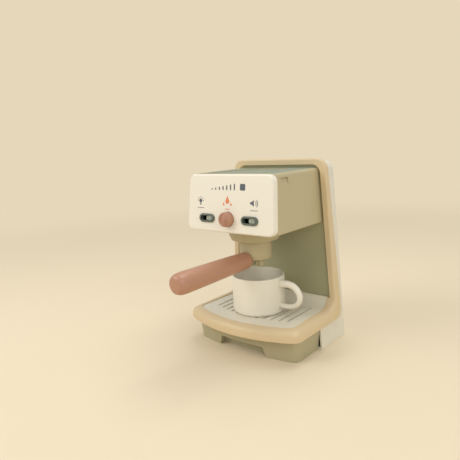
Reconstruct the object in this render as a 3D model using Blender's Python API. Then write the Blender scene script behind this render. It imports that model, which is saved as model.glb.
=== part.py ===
"""Toy coffee maker: a battery-driven play espresso machine, as its separate mouldings and inner parts.

Metres, +Z up, front towards -Y. The origin lies on the surface that the toy stands on, halfway
across, in the plane of the back frame's front rim.
"""

import math

import bmesh
import bpy
from mathutils import Matrix, Vector

# Whole machine
WALL = 0.0024
GAP = 0.0003
OVERRUN = 0.004
SIDE_LEAN_SHARE = 0.066

# Heights, from the floor upwards
DECK_BOTTOM = 0.030
DECK_TOP = 0.046
BAY_HEIGHT = 0.115
HEAD_HEIGHT = 0.072
HEAD_DROP = 0.012
HEAD_BOTTOM = DECK_TOP + BAY_HEIGHT
HEAD_TOP = HEAD_BOTTOM + HEAD_HEIGHT
HEIGHT = HEAD_TOP + HEAD_DROP

# Back frame: tower and deck
FRAME_HALF_WIDTH = 0.0909
FRAME_TOP_RADIUS = 0.015
FRAME_EDGE_RADIUS = 0.0024
RIM_WIDTH = 0.012
RIM_FLANGE = 0.0076
RECESS_DEPTH = 0.004
DECK_REACH = 0.118
DECK_BOW = 0.022
DECK_CORNER_RADIUS = 0.012
DECK_SHOULDER_WIDTH = 0.0105
DECK_SHOULDER_DROP = 0.008
INNER_BEND_RADIUS = 0.014
OUTER_BEND_RADIUS = 0.014
SEAM_TOP_DEPTH = 0.006
SEAM_BOTTOM_DEPTH = 0.0145

# Rear cover and base box
COVER_SET_IN = 0.0049
COVER_HALF_WIDTH = FRAME_HALF_WIDTH - COVER_SET_IN
COVER_DEPTH = 0.0346
COVER_TOP_DROP = 0.0049
COVER_TOE = 0.035
COVER_EDGE_RADIUS = 0.008
BASE_SET_IN = 0.0081
BASE_SET_BACK = 0.0195
BASE_HALF_WIDTH = FRAME_HALF_WIDTH - BASE_SET_IN
BASE_REACH = DECK_REACH - BASE_SET_BACK
BASE_BOW = 0.010
BASE_CORNER_RADIUS = 0.009
BASE_DRAFT = 0.0028

# Head and control panel
HEAD_CLEARANCE = 0.0004
HEAD_HALF_WIDTH = FRAME_HALF_WIDTH - RIM_WIDTH - HEAD_CLEARANCE
HEAD_EDGE_RADIUS = 0.005
PANEL_TOP_REACH = 0.1034
PANEL_OVERHANG = 0.0074
PANEL_BOTTOM_REACH = PANEL_TOP_REACH + PANEL_OVERHANG
PANEL_TOP_INSET = 0.0125
PANEL_BOTTOM_INSET = 0.0095
PANEL_TOP_HALF = HEAD_HALF_WIDTH - PANEL_TOP_INSET
PANEL_BOTTOM_HALF = HEAD_HALF_WIDTH - PANEL_BOTTOM_INSET
PANEL_DEPTH = 0.0085
PANEL_CORNER_RADIUS = 0.0088
PANEL_EDGE_RADIUS = 0.0024

# Brewing group
GROUP_REACH = 0.055
HOLDER_RADIUS = 0.0218
HOLDER_DROP = 0.017
HOLDER_HEIGHT = 0.025
HOLDER_TOP = HEAD_BOTTOM - HOLDER_DROP
HOLDER_BOTTOM = HOLDER_TOP - HOLDER_HEIGHT

# Tray and mug
TRAY_SINK = 0.001
TRAY_TOP = DECK_TOP - TRAY_SINK
TRAY_THICKNESS = 0.0024
TRAY_RIM = 0.0168
TRAY_HALF_WIDTH = FRAME_HALF_WIDTH - TRAY_RIM
TRAY_FLARE = 0.0020
TRAY_FRONT_RIM = 0.0115
TRAY_REACH = DECK_REACH - TRAY_FRONT_RIM
TRAY_BOW = 0.019
MUG_RADIUS = 0.0353
MUG_HEIGHT = 0.0498
MUG_REACH = 0.0523

# Fineness of curves
CORNER_STEPS = 4
EDGE_STEPS = 3
BEND_STEPS = 7
BOW_STEPS = 10
ROUND_SIDES = 40
SMALL_SIDES = 16
SHARP_ANGLE = math.radians(32)

PANEL_HEIGHT = HEAD_TOP - HEAD_BOTTOM
PANEL_LEAN = Vector((0, PANEL_OVERHANG, PANEL_HEIGHT)).angle(Vector((0, 0, PANEL_HEIGHT)))
PANEL_MIDDLE = Vector((0, -(PANEL_TOP_REACH + PANEL_BOTTOM_REACH) / 2, (HEAD_TOP + HEAD_BOTTOM) / 2))


# Materials


def finish(name, colour, roughness, metallic=0.0, alpha=1.0):
    material = bpy.data.materials.new(name)
    material.use_nodes = True
    shader = material.node_tree.nodes["Principled BSDF"]
    shader.inputs["Base Color"].default_value = (*colour, 1)
    shader.inputs["Roughness"].default_value = roughness
    shader.inputs["Metallic"].default_value = metallic
    shader.inputs["Alpha"].default_value = alpha
    material.diffuse_color = (*colour, 1)
    return material


def finishes():
    return {
        "tan": finish("tan_plastic", (0.72, 0.52, 0.30), 0.42),
        "khaki": finish("khaki_plastic", (0.53, 0.44, 0.27), 0.45),
        "white": finish("white_plastic", (0.85, 0.83, 0.77), 0.38),
        "terracotta": finish("terracotta_plastic", (0.52, 0.17, 0.09), 0.45),
        "smoke": finish("smoky_green_plastic", (0.22, 0.26, 0.20), 0.30),
        "grey": finish("grey_green_plastic", (0.16, 0.18, 0.15), 0.40),
        "black": finish("black_plastic", (0.02, 0.02, 0.02), 0.50),
        "board": finish("circuit_board_green", (0.03, 0.15, 0.06), 0.50),
        "steel": finish("zinc_steel", (0.60, 0.60, 0.60), 0.32, metallic=1.0),
        "cell": finish("battery_sleeve", (0.05, 0.12, 0.20), 0.35),
        "tube": finish("clear_tube", (0.75, 0.78, 0.76), 0.25),
        "lens": finish("lamp_lens", (0.85, 0.80, 0.55), 0.15),
    }


# Modelling helpers


def clear_scene():
    for item in list(bpy.data.objects):
        bpy.data.objects.remove(item, do_unlink=True)


def add(name, shape, material):
    mesh = bpy.data.meshes.new(name)
    shape.to_mesh(mesh)
    shape.free()
    mesh.materials.append(material)
    mesh.shade_smooth()
    mesh.set_sharp_from_angle(angle=SHARP_ANGLE)
    item = bpy.data.objects.new(name, mesh)
    bpy.context.scene.collection.objects.link(item)
    return item


def axis(name, place, turn=(0, 0, 0)):
    """An empty on a joint's axis, or in the plane that tilted pieces are drawn in."""
    empty = bpy.data.objects.new(name, None)
    empty.location = place
    empty.rotation_euler = turn
    empty.empty_display_size = WALL
    bpy.context.scene.collection.objects.link(empty)
    return empty


def carried(parent, *items):
    for item in items:
        item.parent = parent
    return items[0]


def combine(target, tool, operation):
    step = target.modifiers.new(tool.name, "BOOLEAN")
    step.operation = operation
    step.solver = "EXACT"
    step.object = tool
    tool.hide_render = True
    tool.display_type = "WIRE"
    return target


def cut(target, *tools):
    for tool in tools:
        combine(target, tool, "DIFFERENCE")
    return target


def join(target, *tools):
    for tool in tools:
        combine(target, tool, "UNION")
    return target


def keep(target, tool):
    return combine(target, tool, "INTERSECT")


def rounded(corners, steps=CORNER_STEPS):
    """A closed outline through corners of (across, along, radius), each turned into an arc."""
    outline = []
    for i, (across, along, radius) in enumerate(corners):
        here = Vector((across, along))
        if radius <= 0:
            outline.append(here)
            continue
        before = (Vector(corners[i - 1][:2]) - here).normalized()
        after = (Vector(corners[(i + 1) % len(corners)][:2]) - here).normalized()
        half_angle = before.angle(after) / 2
        centre = here + (before + after).normalized() * (radius / math.sin(half_angle))
        start = here + before * (radius / math.tan(half_angle)) - centre
        sweep = start.angle_signed(here + after * (radius / math.tan(half_angle)) - centre)
        first = math.atan2(start.y, start.x)
        for k in range(steps + 1):
            turn = first - sweep * k / steps
            outline.append(centre + Vector((math.cos(turn), math.sin(turn))) * radius)
    return outline


def box_outline(half_width, low, high, radius=0.0, middle=0.0):
    return rounded(
        [
            (middle - half_width, low, radius),
            (middle + half_width, low, radius),
            (middle + half_width, high, radius),
            (middle - half_width, high, radius),
        ]
    )


def circle(radius, across=0.0, along=0.0, sides=SMALL_SIDES):
    turns = [2 * math.pi * k / sides for k in range(sides)]
    return [Vector((across + radius * math.cos(t), along + radius * math.sin(t))) for t in turns]


def on_plan(outline, height):
    return [(p.x, p.y, height) for p in outline]


def on_front(outline, depth):
    return [(p.x, depth, p.y) for p in outline]


def on_side(outline, across):
    return [(across, p.x, p.y) for p in outline]


def lofted(name, rings, material):
    """A closed solid through rings of points, every ring with as many points as the next."""
    shape = bmesh.new()
    loops = [[shape.verts.new(point) for point in ring] for ring in rings]
    for low, high in zip(loops, loops[1:]):
        for i in range(len(low)):
            j = (i + 1) % len(low)
            shape.faces.new((low[i], low[j], high[j], high[i]))
    shape.faces.new(loops[0])
    shape.faces.new(loops[-1])
    bmesh.ops.recalc_face_normals(shape, faces=shape.faces)
    return add(name, shape, material)


def turned(name, profile, material, sides=ROUND_SIDES, closed=False):
    """A solid of revolution about local Z from (radius, height) points."""
    shape = bmesh.new()
    points = [shape.verts.new((radius, 0, height)) for radius, height in profile]
    edges = [shape.edges.new(pair) for pair in zip(points, points[1:])]
    if closed:
        edges.append(shape.edges.new((points[-1], points[0])))
    bmesh.ops.spin(
        shape,
        geom=points + edges,
        cent=(0, 0, 0),
        axis=(0, 0, 1),
        angle=2 * math.pi,
        steps=sides,
        use_merge=True,
        use_duplicate=False,
    )
    bmesh.ops.remove_doubles(shape, verts=shape.verts, dist=GAP / 100)
    bmesh.ops.recalc_face_normals(shape, faces=shape.faces)
    return add(name, shape, material)


def rod(name, radius, low, high, material, sides=SMALL_SIDES):
    """A round bar about local Z."""
    return turned(name, [(0, low), (radius, low), (radius, high), (0, high)], material, sides)


def placed(item, place, turn=(0, 0, 0)):
    item.location = place
    item.rotation_euler = turn
    return item


def gathered(name, items):
    """One tool out of several that don't touch one another."""
    shape = bmesh.new()
    for item in items:
        part = item.data.copy()
        part.transform(item.matrix_basis)
        shape.from_mesh(part)
    material = items[0].data.materials[0]
    for item in items:
        bpy.data.objects.remove(item, do_unlink=True)
    return add(name, shape, material)


def smooth_path(route, steps):
    """Points on a Catmull-Rom curve through the route."""
    points = []
    for i in range(len(route) - 1):
        a, b, c, d = (Vector(route[max(0, min(len(route) - 1, i + k))]) for k in (-1, 0, 1, 2))
        for k in range(steps):
            t = k / steps
            points.append(
                (b * 2 + (c - a) * t + (a * 2 - b * 5 + c * 4 - d) * t**2
                 + (b * 3 - a - c * 3 + d) * t**3) / 2
            )
    points.append(Vector(route[-1]))
    return points


def tube(name, points, radius, material, resolution=2):
    """A round tube along the points, closed at both ends."""
    curve = bpy.data.curves.new(name, "CURVE")
    curve.dimensions = "3D"
    curve.bevel_depth = radius
    curve.bevel_resolution = resolution
    curve.use_fill_caps = True
    line = curve.splines.new("POLY")
    line.points.add(len(points) - 1)
    for spot, point in zip(line.points, points):
        spot.co = (*point, 1)
    curve.materials.append(material)
    item = bpy.data.objects.new(name, curve)
    bpy.context.scene.collection.objects.link(item)
    return item


def leaning(half_width, height):
    """Half a width at a height, where the sides lean in evenly from the floor up."""
    return half_width - SIDE_LEAN_SHARE * height


def round_edge(radius, steps=EDGE_STEPS):
    """(depth, inset) pairs down a rounded edge, from the face to the side."""
    turns = [math.pi / 2 * k / steps for k in range(steps + 1)]
    return [(radius * (1 - math.cos(t)), radius * (1 - math.sin(t))) for t in turns]


# Back frame

SHOULDER_SHARES = ((0, 1), (0.05, 0.69), (0.175, 0.40), (0.375, 0.17), (0.625, 0.05), (1, 0))
BEND_MARGIN = 0.0005
BEND_BODY = DECK_TOP - DECK_BOTTOM - DECK_SHOULDER_DROP - FRAME_EDGE_RADIUS - BEND_MARGIN
TOWER_BODY = 0.018
HOLLOW_RISE = 0.002
HOLLOW_BOTTOM = DECK_TOP + HOLLOW_RISE
WIRE_HOLE_RADIUS = 0.007
WIRE_HOLE_ACROSS = 0.024
WIRE_HOLE_DROP = 0.045
WIRE_HOLE_HEIGHT = HEIGHT - WIRE_HOLE_DROP
BASIN_MARGIN = 0.009
BASIN_THICKNESS = 0.003
BASIN_FLOOR = DECK_BOTTOM + BASIN_THICKNESS
BASIN_REAR = 0.015
POST_RADIUS = 0.0042
PILOT_RADIUS = 0.0017
UPPER_SCREW_INSET = 0.032
UPPER_SCREW_DROP = 0.028
LOWER_SCREW_INSET = 0.022
LOWER_SCREW_HEIGHT = 0.070
FRONT_SCREW_INSET = 0.0268
FRONT_SCREW_SET_BACK = 0.0265
REAR_SCREW_INSET = 0.0168
REAR_SCREW_REACH = 0.046
COVER_SCREW_UPPER = (COVER_HALF_WIDTH - UPPER_SCREW_INSET, HEIGHT - UPPER_SCREW_DROP)
COVER_SCREW_LOWER = (COVER_HALF_WIDTH - LOWER_SCREW_INSET, LOWER_SCREW_HEIGHT)
BASE_SCREW_FRONT = (BASE_HALF_WIDTH - FRONT_SCREW_INSET, BASE_REACH - FRONT_SCREW_SET_BACK)
BASE_SCREW_REAR = (BASE_HALF_WIDTH - REAR_SCREW_INSET, REAR_SCREW_REACH)


def tower_outline(half_width, low, high, radius, inset=0.0):
    side = [(leaning(half_width, low) - inset, low, 0), (leaning(half_width, high) - inset, high - inset)]
    corner = max(radius - inset, FRAME_EDGE_RADIUS)
    return rounded(
        [
            (-side[0][0], low, 0),
            (side[0][0], low, 0),
            (side[1][0], side[1][1], corner),
            (-side[1][0], side[1][1], corner),
        ]
    )


def bowed_outline(half_width, reach, bow, rear, radius, inset=0.0, flare=0.0):
    """A plan with straight sides, wider by the flare in front, and a front that bows forwards."""
    rear_half = half_width - inset
    half = rear_half + flare
    tip = inset - reach
    shares = [2 * k / BOW_STEPS - 1 for k in range(1, BOW_STEPS)]
    front = [(half * share, tip + bow * share**2, 0) for share in shares]
    corners = [(-half, tip + bow, radius), *front, (half, tip + bow, radius)]
    return rounded([(-rear_half, rear, 0), *corners, (rear_half, rear, 0)])


def frame_tower(material):
    low = DECK_BOTTOM + FRAME_EDGE_RADIUS + GAP
    rings = [
        on_front(
            tower_outline(FRAME_HALF_WIDTH, low, HEIGHT, FRAME_TOP_RADIUS, inset_share * FRAME_EDGE_RADIUS),
            depth_share * FRAME_EDGE_RADIUS,
        )
        for depth_share, inset_share in SHOULDER_SHARES
    ]
    rings.append(on_front(tower_outline(FRAME_HALF_WIDTH, low, HEIGHT, FRAME_TOP_RADIUS), TOWER_BODY))
    return lofted("back_frame", rings, material)


def frame_deck(material):
    rings = []
    for depth, inset in round_edge(FRAME_EDGE_RADIUS, EDGE_STEPS):
        rings.append((DECK_BOTTOM + depth, inset))
    for drop_share, inset_share in reversed(SHOULDER_SHARES):
        rings.append((DECK_TOP - drop_share * DECK_SHOULDER_DROP, inset_share * DECK_SHOULDER_WIDTH))
    return lofted(
        "frame_deck",
        [
            on_plan(
                bowed_outline(
                    leaning(FRAME_HALF_WIDTH, height), DECK_REACH, DECK_BOW, TOWER_BODY,
                    DECK_CORNER_RADIUS, inset,
                ),
                height,
            )
            for height, inset in rings
        ],
        material,
    )


def frame_bend(material):
    """The inside curve from the tower's rim down to the deck's rim."""
    rings = []
    for k in range(BEND_STEPS + 1):
        share = k / BEND_STEPS
        turn = share * math.pi / 2
        width = FRAME_EDGE_RADIUS + share * (DECK_SHOULDER_WIDTH - FRAME_EDGE_RADIUS)
        drop = FRAME_EDGE_RADIUS + share * (DECK_SHOULDER_DROP - FRAME_EDGE_RADIUS)
        side = [(BEND_BODY + drop, 0.0)]
        side += [(d * drop, i * width) for d, i in reversed(SHOULDER_SHARES)]
        right = []
        for depth, inset in side:
            y = -INNER_BEND_RADIUS + (INNER_BEND_RADIUS + depth) * math.cos(turn)
            z = DECK_TOP + INNER_BEND_RADIUS - (INNER_BEND_RADIUS + depth) * math.sin(turn)
            right.append((leaning(FRAME_HALF_WIDTH, z) - inset, y, z))
        rings.append(right + [(-x, y, z) for x, y, z in reversed(right)])
    return lofted("frame_bend", rings, material)


def seam(offset, front=None):
    """The line where the frame ends and the rear cover begins, as (along, up) points seen from the side.

    It ends level under the deck, at front, or else runs straight on past the frame's underside.
    """
    bend_height = DECK_BOTTOM + OUTER_BEND_RADIUS
    centre = SEAM_BOTTOM_DEPTH - OUTER_BEND_RADIUS
    points = [Vector((SEAM_TOP_DEPTH + offset, HEIGHT + OVERRUN))]
    for k in range(BEND_STEPS + 1):
        turn = math.pi / 2 * k / BEND_STEPS
        reach = OUTER_BEND_RADIUS + offset
        points.append(Vector((centre + reach * math.cos(turn), bend_height - reach * math.sin(turn))))
    if front is None:
        points[-1] = points[-1] * 2 - points[-2]
    else:
        points.append(Vector((front, DECK_BOTTOM - offset)))
    return points


def behind_seam(name, material, offset=0.0, front=None):
    """Everything behind and below the seam."""
    outline = seam(offset, front)
    outline.append(Vector((outline[-1].x, -OVERRUN)))
    outline.append(Vector((COVER_DEPTH + OVERRUN, -OVERRUN)))
    outline.append(Vector((COVER_DEPTH + OVERRUN, HEIGHT + OVERRUN)))
    reach = FRAME_HALF_WIDTH + OVERRUN
    return lofted(name, [on_side(outline, -reach), on_side(outline, reach)], material)


def recess_cutter(material):
    turns = [math.pi / 2 * k / EDGE_STEPS for k in range(EDGE_STEPS + 1)]
    levels = [(-OVERRUN, RIM_WIDTH - RECESS_DEPTH)]
    levels += [(RECESS_DEPTH * math.sin(t), RIM_WIDTH - RECESS_DEPTH * math.cos(t)) for t in turns]
    rings = [
        on_front(
            tower_outline(
                FRAME_HALF_WIDTH, TRAY_TOP + LIP_RADIUS, HEIGHT, FRAME_TOP_RADIUS + RECESS_DEPTH, inset
            ),
            depth,
        )
        for depth, inset in levels
    ]
    return lofted("frame_recess_cutter", rings, material)


def hollow_cutter(material):
    outline = tower_outline(FRAME_HALF_WIDTH, HOLLOW_BOTTOM, HEIGHT, FRAME_TOP_RADIUS, RIM_FLANGE)
    return lofted(
        "frame_hollow_cutter",
        [on_front(outline, RECESS_DEPTH + WALL), on_front(outline, TOWER_BODY + OVERRUN)],
        material,
    )


def screw_places(upper, lower):
    return [(side * across, height) for across, height in (upper, lower) for side in (-1, 1)]


def back_frame(look):
    frame = join(frame_tower(look["tan"]), frame_deck(look["tan"]), frame_bend(look["tan"]))
    cut(frame, behind_seam("frame_seam_cutter", look["tan"]))
    cut(frame, recess_cutter(look["tan"]), tray_space("frame_tray_cutter", look["tan"]))
    basin = bowed_outline(
        TRAY_HALF_WIDTH, TRAY_REACH, TRAY_BOW, -BASIN_REAR, DECK_CORNER_RADIUS, BASIN_MARGIN, TRAY_FLARE
    )
    cut(
        frame,
        lofted("frame_basin_cutter", [on_plan(basin, BASIN_FLOOR), on_plan(basin, DECK_TOP)], look["tan"]),
        hollow_cutter(look["tan"]),
    )
    wire_hole = circle(WIRE_HOLE_RADIUS, WIRE_HOLE_ACROSS, WIRE_HOLE_HEIGHT)
    cut(
        frame,
        lofted(
            "frame_wire_cutter", [on_front(wire_hole, 0), on_front(wire_hole, TOWER_BODY)], look["tan"]
        ),
    )
    posts = []
    for i, (across, height) in enumerate(screw_places(COVER_SCREW_UPPER, COVER_SCREW_LOWER)):
        start = RECESS_DEPTH + WALL / 2
        end = COVER_DEPTH - WALL - GAP
        post = lofted(
            f"frame_cover_post_{i + 1}",
            [on_front(circle(POST_RADIUS, across, height), y) for y in (start, end)],
            look["tan"],
        )
        posts.append(post)
    for i, (across, reach) in enumerate(screw_places(BASE_SCREW_FRONT, BASE_SCREW_REAR)):
        post = lofted(
            f"frame_base_post_{i + 1}",
            [on_plan(circle(POST_RADIUS, across, -reach), z) for z in (WALL + GAP, DECK_BOTTOM + WALL / 2)],
            look["tan"],
        )
        posts.append(post)
    join(frame, gathered("frame_posts", posts))
    pilots = []
    for i, (across, height) in enumerate(screw_places(COVER_SCREW_UPPER, COVER_SCREW_LOWER)):
        hole = circle(PILOT_RADIUS, across, height)
        ends = (COVER_DEPTH - SCREW_LENGTH - OVERRUN, COVER_DEPTH)
        pilots.append(
            lofted(f"frame_cover_pilot_{i + 1}", [on_front(hole, y) for y in ends], look["tan"])
        )
    for i, (across, reach) in enumerate(screw_places(BASE_SCREW_FRONT, BASE_SCREW_REAR)):
        hole = circle(PILOT_RADIUS, across, -reach)
        ends = (0, SCREW_LENGTH + OVERRUN)
        pilots.append(lofted(f"frame_base_pilot_{i + 1}", [on_plan(hole, z) for z in ends], look["tan"]))
    return cut(frame, gathered("frame_pilots", pilots))


# Drip tray

LIP_RADIUS = 0.014
SLOT_PITCH = 0.0105
SLOT_SIDE_MARGIN = 0.012
SLOT_COUNT = 2 * int((TRAY_HALF_WIDTH - SLOT_SIDE_MARGIN + SLOT_PITCH / 2) / SLOT_PITCH)
SLOT_WIDTH = 0.0024
SLOT_REAR = 0.013
SLOT_MARGIN = 0.0235
TRAY_CORNER_RADIUS = 0.009
TRAY_EDGE_RADIUS = 0.0007
LIP_HEIGHT = 0.014


def tray_side(offset):
    """The tray's underside, moved out by offset, as (along, up) points from the lip's top to the front."""
    rear = RECESS_DEPTH - GAP + offset
    reach = LIP_RADIUS + TRAY_THICKNESS + offset
    centre = Vector((rear - reach, TRAY_TOP + LIP_RADIUS))
    points = [Vector((rear, TRAY_TOP + LIP_HEIGHT))]
    for k in range(BEND_STEPS + 1):
        turn = math.pi / 2 * k / BEND_STEPS
        points.append(centre + Vector((math.cos(turn), -math.sin(turn))) * reach)
    points.append(Vector((-(TRAY_REACH + OVERRUN), TRAY_TOP - TRAY_THICKNESS - offset)))
    return points


def tray_plan(name, inset, low, high, material):
    outline = bowed_outline(
        TRAY_HALF_WIDTH, TRAY_REACH, TRAY_BOW, RECESS_DEPTH + OVERRUN, TRAY_CORNER_RADIUS, inset, TRAY_FLARE
    )
    return lofted(name, [on_plan(outline, low), on_plan(outline, high)], material)


def tray_space(name, material):
    """The tray's own room in the frame, a clearance larger than the tray, and everything above it."""
    outline = tray_side(GAP)
    top = TRAY_TOP + LIP_HEIGHT + OVERRUN
    outline[0].y = top
    outline.append(Vector((outline[-1].x, top)))
    reach = FRAME_HALF_WIDTH
    space = lofted(name, [on_side(outline, -reach), on_side(outline, reach)], material)
    plan = tray_plan(f"{name}_plan", -GAP, DECK_BOTTOM, top + OVERRUN, material)
    return keep(space, plan)


def drip_tray(look):
    outer = tray_side(0)
    inner = [Vector((outer[0].x - TRAY_THICKNESS, outer[0].y))]
    centre = Vector((inner[0].x - LIP_RADIUS, TRAY_TOP + LIP_RADIUS))
    for k in range(BEND_STEPS + 1):
        turn = math.pi / 2 * k / BEND_STEPS
        inner.append(centre + Vector((math.cos(turn), -math.sin(turn))) * LIP_RADIUS)
    inner.append(Vector((outer[-1].x, TRAY_TOP)))
    del inner[1], outer[1]
    outline = inner + list(reversed(outer))
    reach = FRAME_HALF_WIDTH
    tray = lofted("drip_tray", [on_side(outline, -reach), on_side(outline, reach)], look["white"])
    keep(tray, tray_plan("tray_outline", 0, DECK_BOTTOM, HEIGHT, look["white"]))
    slots = []
    for i in range(SLOT_COUNT):
        across = (i - (SLOT_COUNT - 1) / 2) * SLOT_PITCH
        front = TRAY_BOW * (across / TRAY_HALF_WIDTH) ** 2 + SLOT_MARGIN - TRAY_REACH
        slot = rounded(
            [
                (across - SLOT_WIDTH / 2, front, SLOT_WIDTH / 3),
                (across + SLOT_WIDTH / 2, front, SLOT_WIDTH / 3),
                (across + SLOT_WIDTH / 2, -SLOT_REAR, SLOT_WIDTH / 3),
                (across - SLOT_WIDTH / 2, -SLOT_REAR, SLOT_WIDTH / 3),
            ],
            2,
        )
        ends = (TRAY_TOP - TRAY_THICKNESS - OVERRUN, TRAY_TOP + OVERRUN)
        slots.append(lofted(f"tray_slot_{i + 1}", [on_plan(slot, z) for z in ends], look["white"]))
    return cut(tray, gathered("tray_slots", slots))


# Rear cover

BATTERY_MIDDLE = 0.085
BATTERY_PITCH = 0.0149
CELL_RADIUS = 0.00715
CELL_LENGTH = 0.0505
BOX_WALL = 0.0016
CONTACT_ROOM = 0.0031
BOX_DEPTH = 0.0182
DOOR_LEDGE = 0.0020
DOOR_TAB = 0.0125
DOOR_CORNER_RADIUS = 0.003
DOOR_THICKNESS = 0.0021
SOCKET_DEPTH = 0.006
SOCKET_MARGIN = 0.0036
SPEAKER_RADIUS = 0.018
SPEAKER_DROP = 0.055
SPEAKER_HEIGHT = HEIGHT - SPEAKER_DROP
SPEAKER_DEPTH = 0.011
SPEAKER_RING = 0.0016
GRILLE_COUNT = 7
GRILLE_PITCH = 0.0046
GRILLE_WIDTH = 0.0020
SCREW_LENGTH = 0.013
SCREW_HEAD_RADIUS = 0.0030
SCREW_HEAD_DEPTH = 0.0010
SCREW_SHANK_RADIUS = 0.0013

BACKWARDS = (-math.pi / 2, 0, 0)
DOWNWARDS = (math.pi, 0, 0)

BOX_HALF = CELL_LENGTH / 2 + CONTACT_ROOM + BOX_WALL
BOX_LOW = BATTERY_MIDDLE - 1.5 * BATTERY_PITCH - BOX_WALL
BOX_HIGH = BATTERY_MIDDLE + 1.5 * BATTERY_PITCH + BOX_WALL
BOX_REAR = COVER_DEPTH - WALL
BOX_FRONT = BOX_REAR - BOX_DEPTH
DOOR_HALF = BOX_HALF + DOOR_LEDGE
DOOR_LOW = BOX_LOW - DOOR_LEDGE - DOOR_TAB
DOOR_HIGH = BOX_HIGH + DOOR_LEDGE
DOOR_SCREW_HEIGHT = DOOR_LOW + DOOR_TAB / 2


def cover_outline(inset, floor=0.0):
    top = HEIGHT - COVER_TOP_DROP - inset
    corner = max(FRAME_TOP_RADIUS - COVER_TOP_DROP - inset, FRAME_EDGE_RADIUS)
    low = leaning(COVER_HALF_WIDTH, floor) - inset
    high = leaning(COVER_HALF_WIDTH, top) - inset
    return rounded([(-low, floor, 0), (low, floor, 0), (high, top, corner), (-high, top, corner)])


def rear_cover(look):
    white = look["white"]
    rings = [on_front(cover_outline(0), -COVER_TOE)]
    for depth, inset in reversed(round_edge(COVER_EDGE_RADIUS, CORNER_STEPS)):
        rings.append(on_front(cover_outline(inset), COVER_DEPTH - depth))
    cover = lofted("rear_cover", rings, white)
    keep(cover, behind_seam("cover_seam", white, GAP, -COVER_TOE))
    rings = [on_front(cover_outline(WALL, WALL), -(COVER_TOE + OVERRUN))]
    for depth, inset in reversed(round_edge(COVER_EDGE_RADIUS - WALL, CORNER_STEPS)):
        rings.append(on_front(cover_outline(WALL + inset, WALL), COVER_DEPTH - WALL - depth))
    cut(cover, lofted("cover_hollow", rings, white))
    socket = box_outline(BOX_HALF + SOCKET_MARGIN, DOOR_LOW - DOOR_LEDGE, BOX_HIGH + SOCKET_MARGIN, WALL)
    ring = circle(SPEAKER_RADIUS + GAP + SPEAKER_RING, 0, SPEAKER_HEIGHT, ROUND_SIDES)
    inside = COVER_DEPTH - WALL - SOCKET_DEPTH
    join(
        cover,
        lofted("cover_socket", [on_front(socket, y) for y in (inside, BOX_REAR + WALL / 3)], white),
        lofted("cover_speaker_ring", [on_front(ring, y) for y in (inside, BOX_REAR + WALL / 3)], white),
    )
    mouth = box_outline(BOX_HALF + GAP, BOX_LOW - GAP, BOX_HIGH + GAP)
    door = box_outline(DOOR_HALF + GAP, DOOR_LOW - GAP, DOOR_HIGH + GAP, DOOR_CORNER_RADIUS)
    seat = circle(SPEAKER_RADIUS + GAP, 0, SPEAKER_HEIGHT, ROUND_SIDES)
    beyond = COVER_DEPTH + OVERRUN
    cut(
        cover,
        lofted("cover_battery_mouth", [on_front(mouth, y) for y in (inside - OVERRUN, beyond)], white),
        lofted("cover_door_seat", [on_front(door, y) for y in (BOX_REAR, beyond)], white),
        lofted("cover_speaker_seat", [on_front(seat, y) for y in (inside - OVERRUN, BOX_REAR)], white),
    )
    pilot = circle(PILOT_RADIUS, 0, DOOR_SCREW_HEIGHT)
    cut(cover, lofted("cover_door_pilot", [on_front(pilot, y) for y in (inside - OVERRUN, beyond)], white))
    slots = []
    for i in range(GRILLE_COUNT):
        rise = (i - (GRILLE_COUNT - 1) / 2) * GRILLE_PITCH
        half = math.sqrt((SPEAKER_RADIUS - SPEAKER_RING) ** 2 - rise**2)
        low = SPEAKER_HEIGHT + rise - GRILLE_WIDTH / 2
        slot = box_outline(half, low, low + GRILLE_WIDTH, GRILLE_WIDTH / 3)
        slots.append(lofted(f"cover_grille_{i + 1}", [on_front(slot, y) for y in (inside, beyond)], white))
    cut(cover, gathered("cover_grille", slots))
    holes = [
        screw_hole(f"cover_screw_hole_{i + 1}", (across, COVER_DEPTH, height), BACKWARDS, look)
        for i, (across, height) in enumerate(screw_places(COVER_SCREW_UPPER, COVER_SCREW_LOWER))
    ]
    return cut(cover, gathered("cover_screw_holes", holes))


def screw_hole(name, place, turn, look):
    """A clearance hole with a seat for the head, at a screw's own place."""
    seat = SCREW_HEAD_DEPTH + GAP
    profile = [
        (0, -(seat + SOCKET_DEPTH)),
        (PILOT_RADIUS, -(seat + SOCKET_DEPTH)),
        (PILOT_RADIUS, -seat),
        (SCREW_HEAD_RADIUS + GAP, -seat),
        (SCREW_HEAD_RADIUS + GAP, OVERRUN),
        (0, OVERRUN),
    ]
    return placed(turned(name, profile, look["steel"], SMALL_SIDES), place, turn)


def screw(name, place, turn, look):
    """A round-headed screw whose head's outer face lies at the place, shank towards local -Z."""
    profile = [
        (0, 0),
        (SCREW_HEAD_RADIUS * 0.8, 0),
        (SCREW_HEAD_RADIUS, -SCREW_HEAD_DEPTH / 2),
        (SCREW_HEAD_RADIUS, -SCREW_HEAD_DEPTH),
        (SCREW_SHANK_RADIUS, -SCREW_HEAD_DEPTH),
        (SCREW_SHANK_RADIUS, SCREW_SHANK_RADIUS - SCREW_LENGTH),
        (0, -SCREW_LENGTH),
    ]
    item = turned(name, profile, look["steel"], SMALL_SIDES // 2)
    return placed(item, place, turn)


def screws(look):
    for i, (across, height) in enumerate(screw_places(COVER_SCREW_UPPER, COVER_SCREW_LOWER)):
        screw(f"cover_screw_{i + 1}", (across, COVER_DEPTH, height), BACKWARDS, look)
    for i, (across, reach) in enumerate(screw_places(BASE_SCREW_FRONT, BASE_SCREW_REAR)):
        screw(f"base_screw_{i + 1}", (across, -reach, GAP), DOWNWARDS, look)


# Battery pack


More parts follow.
